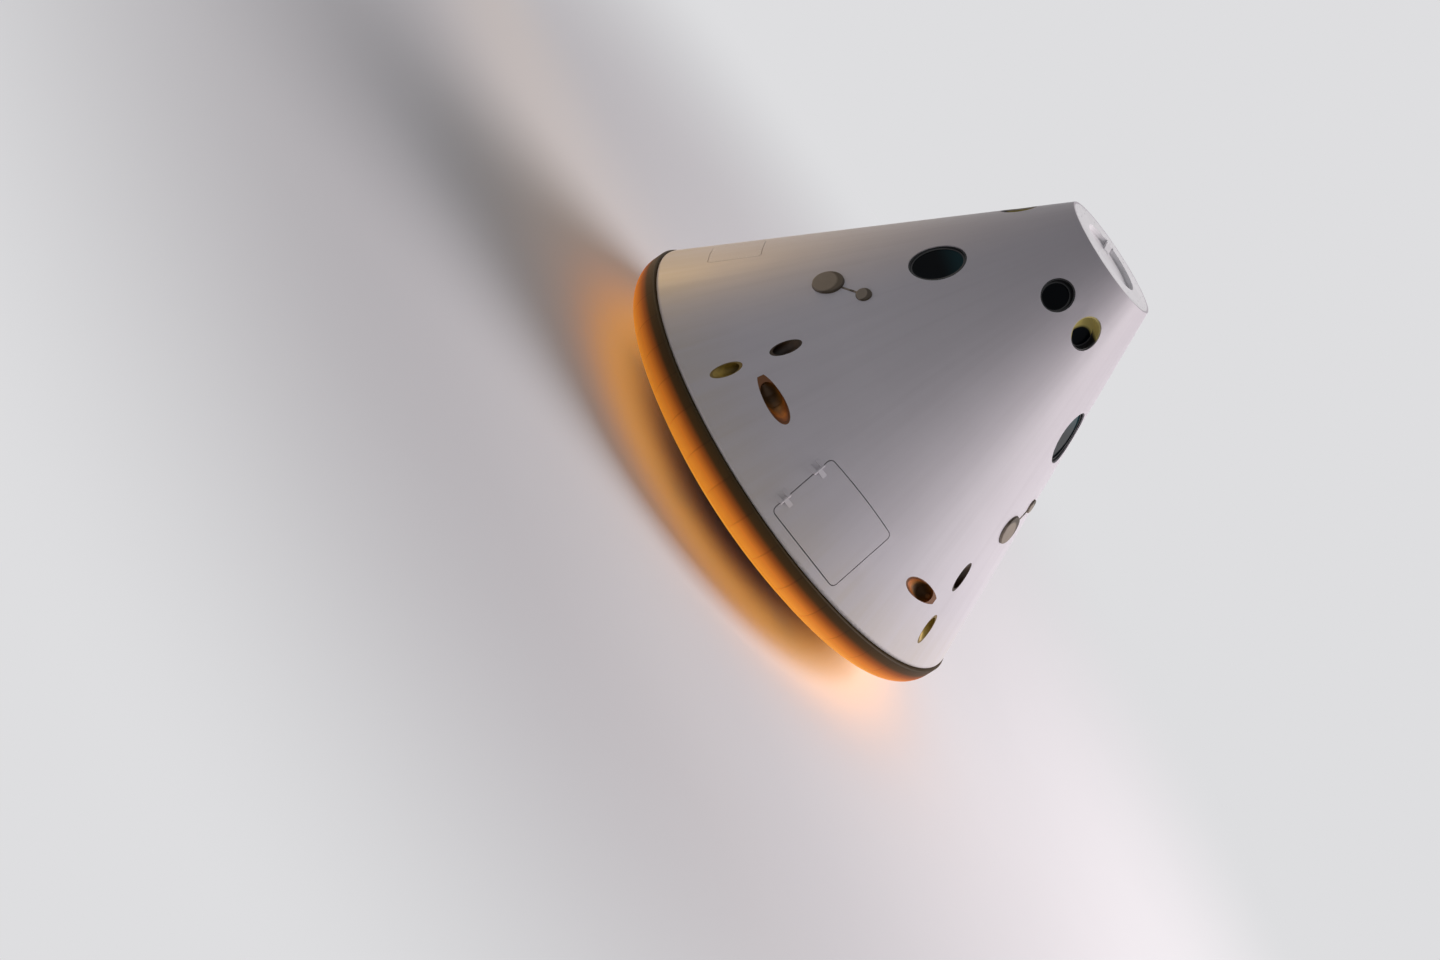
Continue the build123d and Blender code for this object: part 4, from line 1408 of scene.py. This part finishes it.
@dataclass
class Thrusters:
    """Ribbed linings with injector faces inside the twelve nozzles."""

    cone: Cone
    pod_bearing: float = 45.6
    yaw_bearing: float = 32.7
    aft_height: float = 0.305
    fore_height: float = 0.741
    yaw_height: float = 0.505
    slope_bell: Bell = Bell(0.050, 65.0)
    yaw_bell: Bell = Bell(0.068, 70.0, throat_depth=0.220, waist_depth=0.165)
    clearance: float = 0.0018
    sheet: float = 0.0008
    skin_gap: float = 0.0025
    overshoot: float = 0.02
    floor_gap: float = 0.004
    rib_pitch: float = 0.012
    rib_height: float = 0.0012
    injector_rim: float = 0.35
    injector_rise: float = 0.3
    sides: int = 48
    rounds: int = 24
    damping: float = 0.6
    merge: float = 0.00002
    crease: float = 50.0

    def build(self) -> None:
        """Build the linings, joined by the way that they point."""
        aft, fore, yaw = [], [], []
        for front, side in ((True, -1), (True, 1), (False, -1), (False, 1)):
            pod, beside = (
                side * (bearing if front else 180 - bearing)
                for bearing in (self.pod_bearing, self.yaw_bearing)
            )
            for row, bearing, height, bell, axis, way in (
                (aft, pod, self.aft_height, self.slope_bell, 1, -1),
                (fore, pod, self.fore_height, self.slope_bell, 1, 1),
                (yaw, beside, self.yaw_height, self.yaw_bell, 0, 1 if beside > pod else -1),
            ):
                place = self.cone.place(bearing, height)
                row.append(self.lining(place, place.to_3x3().col[axis] * way, bell))
        for linings, name, coat in (
            (aft, "aft_nozzle_linings", AFT_BRONZE),
            (fore, "fore_nozzle_linings", FORE_BRONZE),
            (yaw, "yaw_nozzle_linings", YAW_BRONZE),
        ):
            finish(join(linings), name, coat, Body.CAPSULE, Slot.NOZZLE, self.crease)

    def crossing(self, leaning: Matrix, bell: Bell, turn: float) -> Vector:
        """Find where the lining ends, just under the curved skin.

        Args:
            leaning: The nozzle's own axes, with z out along it.
            bell: The nozzle's hollow.
            turn: Angle round the nozzle's axis in radians.

        Returns:
            The point in the nozzle's own axes.
        """
        damping = self.damping / cos(radians(bell.cant))
        level, edge = 0.0, Vector()
        for _ in range(self.rounds):
            size = bell.radius_at(level) - self.clearance
            edge = Vector((size * cos(turn), size * sin(turn), level))
            level -= damping * self.cone.over(leaning @ edge, self.skin_gap)
        return edge

    def lining(self, place: Matrix, towards: Vector, bell: Bell) -> Piece:
        """Model one lining: a tube grown ring by ring down to its injector face.

        Args:
            place: The nozzle's place on the skin.
            towards: The direction in the skin that the nozzle leans to.
            bell: The nozzle's hollow.

        Returns:
            The lining, in its place and scarfed to the skin.
        """
        mouth = bell.radius * tan(radians(bell.cant)) + self.overshoot
        drop = mouth - (self.floor_gap - bell.throat_depth)
        level, size = mouth, bell.radius - self.clearance
        clear_selection()
        bpy.ops.mesh.primitive_circle_add(vertices=self.sides, radius=size, location=(0, 0, mouth))
        lining = put(bpy.context.active_object, Matrix.Identity(4))
        edit(lining, "SELECT", "EDGE")
        steps = 2 * int(drop / self.rib_pitch)
        for step in range(1, steps + 1):
            next_level = mouth - step * drop / steps
            rib = self.rib_height if step % 2 else 0.0
            next_size = bell.radius_at(next_level) - self.clearance - rib
            extrude(next_level - level)
            share = next_size / size
            bpy.ops.transform.resize(value=(share, share, 1), center_override=(0, 0, next_level))
            level, size = next_level, next_size
        bpy.ops.mesh.edge_face_add()
        bpy.ops.mesh.inset(thickness=size * self.injector_rim)
        extrude(size * self.injector_rise)
        clear_selection()
        leaning = canted(place, bell.cant, towards)
        self.scarf(lining, leaning, bell)
        modify(lining, "SOLIDIFY", thickness=self.sheet, offset=-1.0)
        return put(lining, leaning)

    def scarf(self, lining: Piece, leaning: Matrix, bell: Bell) -> None:
        """Draw what stands over the skin back to it, and merge what meets there.

        Args:
            lining: The lining, still round the origin.
            leaning: The nozzle's own axes.
            bell: The nozzle's hollow.
        """
        step = tau / self.sides
        edges = [self.crossing(leaning, bell, number * step) for number in range(self.sides)]
        for vertex in lining.data.vertices:
            edge = edges[round(atan2(vertex.co.y, vertex.co.x) / step) % self.sides]
            if vertex.co.z > edge.z:
                vertex.co = edge
        edit(lining, "SELECT")
        bpy.ops.mesh.remove_doubles(threshold=self.merge)
        bpy.ops.mesh.select_all(action="SELECT")
        bpy.ops.mesh.normals_make_consistent(inside=True)
        clear_selection()


@dataclass
class Nose:
    """Screws of the docking face and of the forward hatch."""

    cone: Cone
    face_radius: float = 0.470
    face_screws: int = 36
    lid_drop: float = 0.040
    lid_radius: float = 0.276
    lid_screws: int = 24
    sink: float = 0.0006
    screw: Screw = Screw(0.006, 0.0009)

    def build(self) -> None:
        """Build both rings of flush screws, facing up."""
        face = (self.face_radius, self.face_screws, 0.0, Body.CAPSULE)
        lid = (self.lid_radius, self.lid_screws, self.lid_drop, Body.FORWARD_HATCH)
        for name, (radius, count, drop, body) in (
            ("docking_face_screws", face),
            ("forward_hatch_screws", lid),
        ):
            spots = spots_round(count, radius, radius, self.cone.nose_z - drop - self.sink)
            self.screw.drive(spots, name, STEEL, body, Slot.METAL)


@dataclass
class CabinFloor:
    """Cargo tracks on the cabin floor."""

    cone: Cone
    tracks: int = 5
    spacing: float = 0.36
    width: float = 0.044
    height: float = 0.008
    reach: float = 1.45
    slot_width: float = 0.016
    slot_depth: float = 0.6
    edge: float = 0.0012

    def build(self) -> None:
        """Model one track as a slotted rail and copy it across the floor."""
        clear_selection()
        bpy.ops.mesh.primitive_cube_add(size=1.0)
        rail = bpy.context.active_object
        edit(rail, "SELECT")
        bpy.ops.transform.resize(value=(self.width, 1.0, self.height))
        pick(rail, "FACE", lambda centre, normal: normal.z > UPWARDS)
        bpy.ops.mesh.inset(thickness=(self.width - self.slot_width) / 2)
        extrude(-self.height * self.slot_depth)
        clear_selection()
        places = []
        for number in range(self.tracks):
            x = (number - (self.tracks - 1) / 2) * self.spacing
            length = 2 * sqrt(self.reach**2 - x**2)
            at = Matrix.Translation((x, 0, self.cone.base_z + self.height / 2))
            places.append(at @ Matrix.Diagonal((1, length, 1, 1)))
        rails = copies(rail, places)
        modify(rails, "BEVEL", width=self.edge, segments=2, limit_method="ANGLE")
        finish(rails, "cargo_tracks", ALUMINIUM, Body.CAPSULE, Slot.ALUMINIUM)


def dress_nodes(nodes: dict[str, Piece]) -> None:
    """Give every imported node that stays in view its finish.

    Args:
        nodes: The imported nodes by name.
    """
    low, high = (corner.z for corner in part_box("window_pane_1"))
    # Painted teal reflection over the windows' upper half, and a painted gold reflection in one
    # port of each pair.
    window_glass = CoatedGlass(
        "coated_window_glass", "#03080E", 0.07, painted_reflection_low=low, painted_reflection_high=high
    )
    port_glass = CoatedGlass(
        "coated_port_glass",
        "#02060E",
        0.12,
        painted_reflection_start=0.0,
        painted_reflection_share=0.0,
        painted_crescents=(PAINTED_GLOW_IN_GLASS,),
    )
    coats = (
        (window_glass, ("window_pane",)),
        (port_glass, ("port_pane",)),
        (WINDOW_SLEEVE, ("window_frame",)),
        (PORT_SLEEVE, ("port_liner",)),
        (CAN_BRONZE, ("thruster_pod",)),
        (COVER_GREY, ("antenna_cover",)),
        (ABLATOR, ("heat_shield", "closeout_ring")),
        (STEEL, ("separation_pads", "side_hatch_latch", "forward_hatch_latch")),
        (ALUMINIUM, ("side_hatch_frame",)),
        (SHELL_PAINT, ("backshell", "service_panel", "side_hatch")),
        (ENAMEL, ("nose_ring", "forward_hatch")),
    )
    for name, node in nodes.items():
        coat = next((coat for coat, starts in coats if name.startswith(starts)), ALUMINIUM)
        node.data.materials.clear()
        node.data.materials.append(coat.material())
        LOG.info("%s: %s", name, coat.name)


# Studio


@dataclass(frozen=True)
class Lamp:
    """A square soft lamp, which hangs at one point and faces another."""

    name: str
    at: tuple[float, float, float]
    aim: tuple[float, float, float]
    size: float
    watts: float
    colour: str
    spread: float

    def hang(self) -> None:
        """Add the lamp to the scene."""
        data = bpy.data.lights.new(self.name, "AREA")
        data.shape = "SQUARE"
        data.size = self.size
        data.energy = self.watts
        data.color = linear(self.colour)[:3]
        data.spread = radians(self.spread)
        lamp = bpy.data.objects.new(self.name, data)
        lamp.location = self.at
        lamp.rotation_mode = "QUATERNION"
        lamp.rotation_quaternion = (Vector(self.aim) - Vector(self.at)).to_track_quat("-Z", "Y")
        bpy.context.scene.collection.objects.link(lamp)


@dataclass
class Studio:
    """Camera, floor and backdrop, a soft key on the right and a warm accent behind the left."""

    camera_place: tuple[float, float, float] = (-6.9956, -22.5407, 6.9988)
    heading: float = 16.7002
    pitch: float = 16.6820
    roll: float = 56.7037
    lens: float = 75.42
    sensor: float = 36.0
    farthest: float = 500.0
    floor_radius: float = 90.0
    floor_sides: int = 96
    sky_colour: str = "#F4F4F8"
    sky_strength: float = 0.21
    lamps: tuple[Lamp, ...] = (
        Lamp("key", (15.2, 1.0, 13.0), (0.0, 0.0, 1.6), 10.0, 2900.0, "#FFF6F8", 180.0),
        Lamp("warm", (-6.4, 6.2, 1.4), (-1.2, 0.0, 0.8), 1.6, 9.0, "#FFCB70", 40.0),
    )

    def build(self) -> None:
        """Build all of it."""
        self.build_camera()
        self.build_floor()
        for lamp in self.lamps:
            lamp.hang()
        self.build_world()
        scene = bpy.context.scene
        scene.view_settings.view_transform = "Standard"
        LOG.info("studio built")

    def build_camera(self) -> None:
        """Point the camera by heading and pitch, then roll it about its view."""
        data = bpy.data.cameras.new("camera")
        data.lens = self.lens
        data.sensor_width = self.sensor
        data.clip_end = self.farthest
        camera = bpy.data.objects.new("camera", data)
        bpy.context.scene.collection.objects.link(camera)
        heading, pitch = radians(self.heading), radians(self.pitch)
        flat = cos(pitch)
        view = Vector((sin(heading) * flat, cos(heading) * flat, -sin(pitch)))
        level = view.to_track_quat("-Z", "Y")
        camera.rotation_mode = "QUATERNION"
        camera.rotation_quaternion = level @ Quaternion((0, 0, 1), radians(self.roll))
        camera.location = self.camera_place
        bpy.context.scene.camera = camera

    def build_floor(self) -> None:
        """Lay a wide round floor."""
        clear_selection()
        bpy.ops.mesh.primitive_circle_add(
            vertices=self.floor_sides, radius=self.floor_radius, fill_type="NGON"
        )
        floor = bpy.context.active_object
        floor.name = "floor"
        floor.data.materials.append(FLOOR.material())

    def build_world(self) -> None:
        """Light from a plain pale sky, and show the backdrop where it is seen directly."""
        world = bpy.data.worlds.new("studio")
        world.use_nodes = True
        graph = Graph(world.node_tree, "Background", "World Output")
        graph.surface({"Color": self.sky_colour, "Strength": self.sky_strength})
        backdrop = graph.add("Background", {"Color": BACKDROP, "Strength": 1.0})
        graph.cover(backdrop, graph.directly_seen())
        bpy.context.scene.world = world


def main() -> None:
    """Load the frame, dress it, add the small work and set up the studio."""
    logging.basicConfig(level=logging.INFO, format="%(name)s: %(message)s")
    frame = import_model()
    cone = Cone.from_frame()
    Studio().build()
    dress_nodes(frame["nodes"])
    for assembly in (
        Glazing(cone),
        Antennas(cone),
        ServicePanel(cone),
        SideHatch(cone),
        Thrusters(cone),
        Nose(cone),
        CabinFloor(cone),
    ):
        assembly.build()


if __name__ == "__main__":
    main()
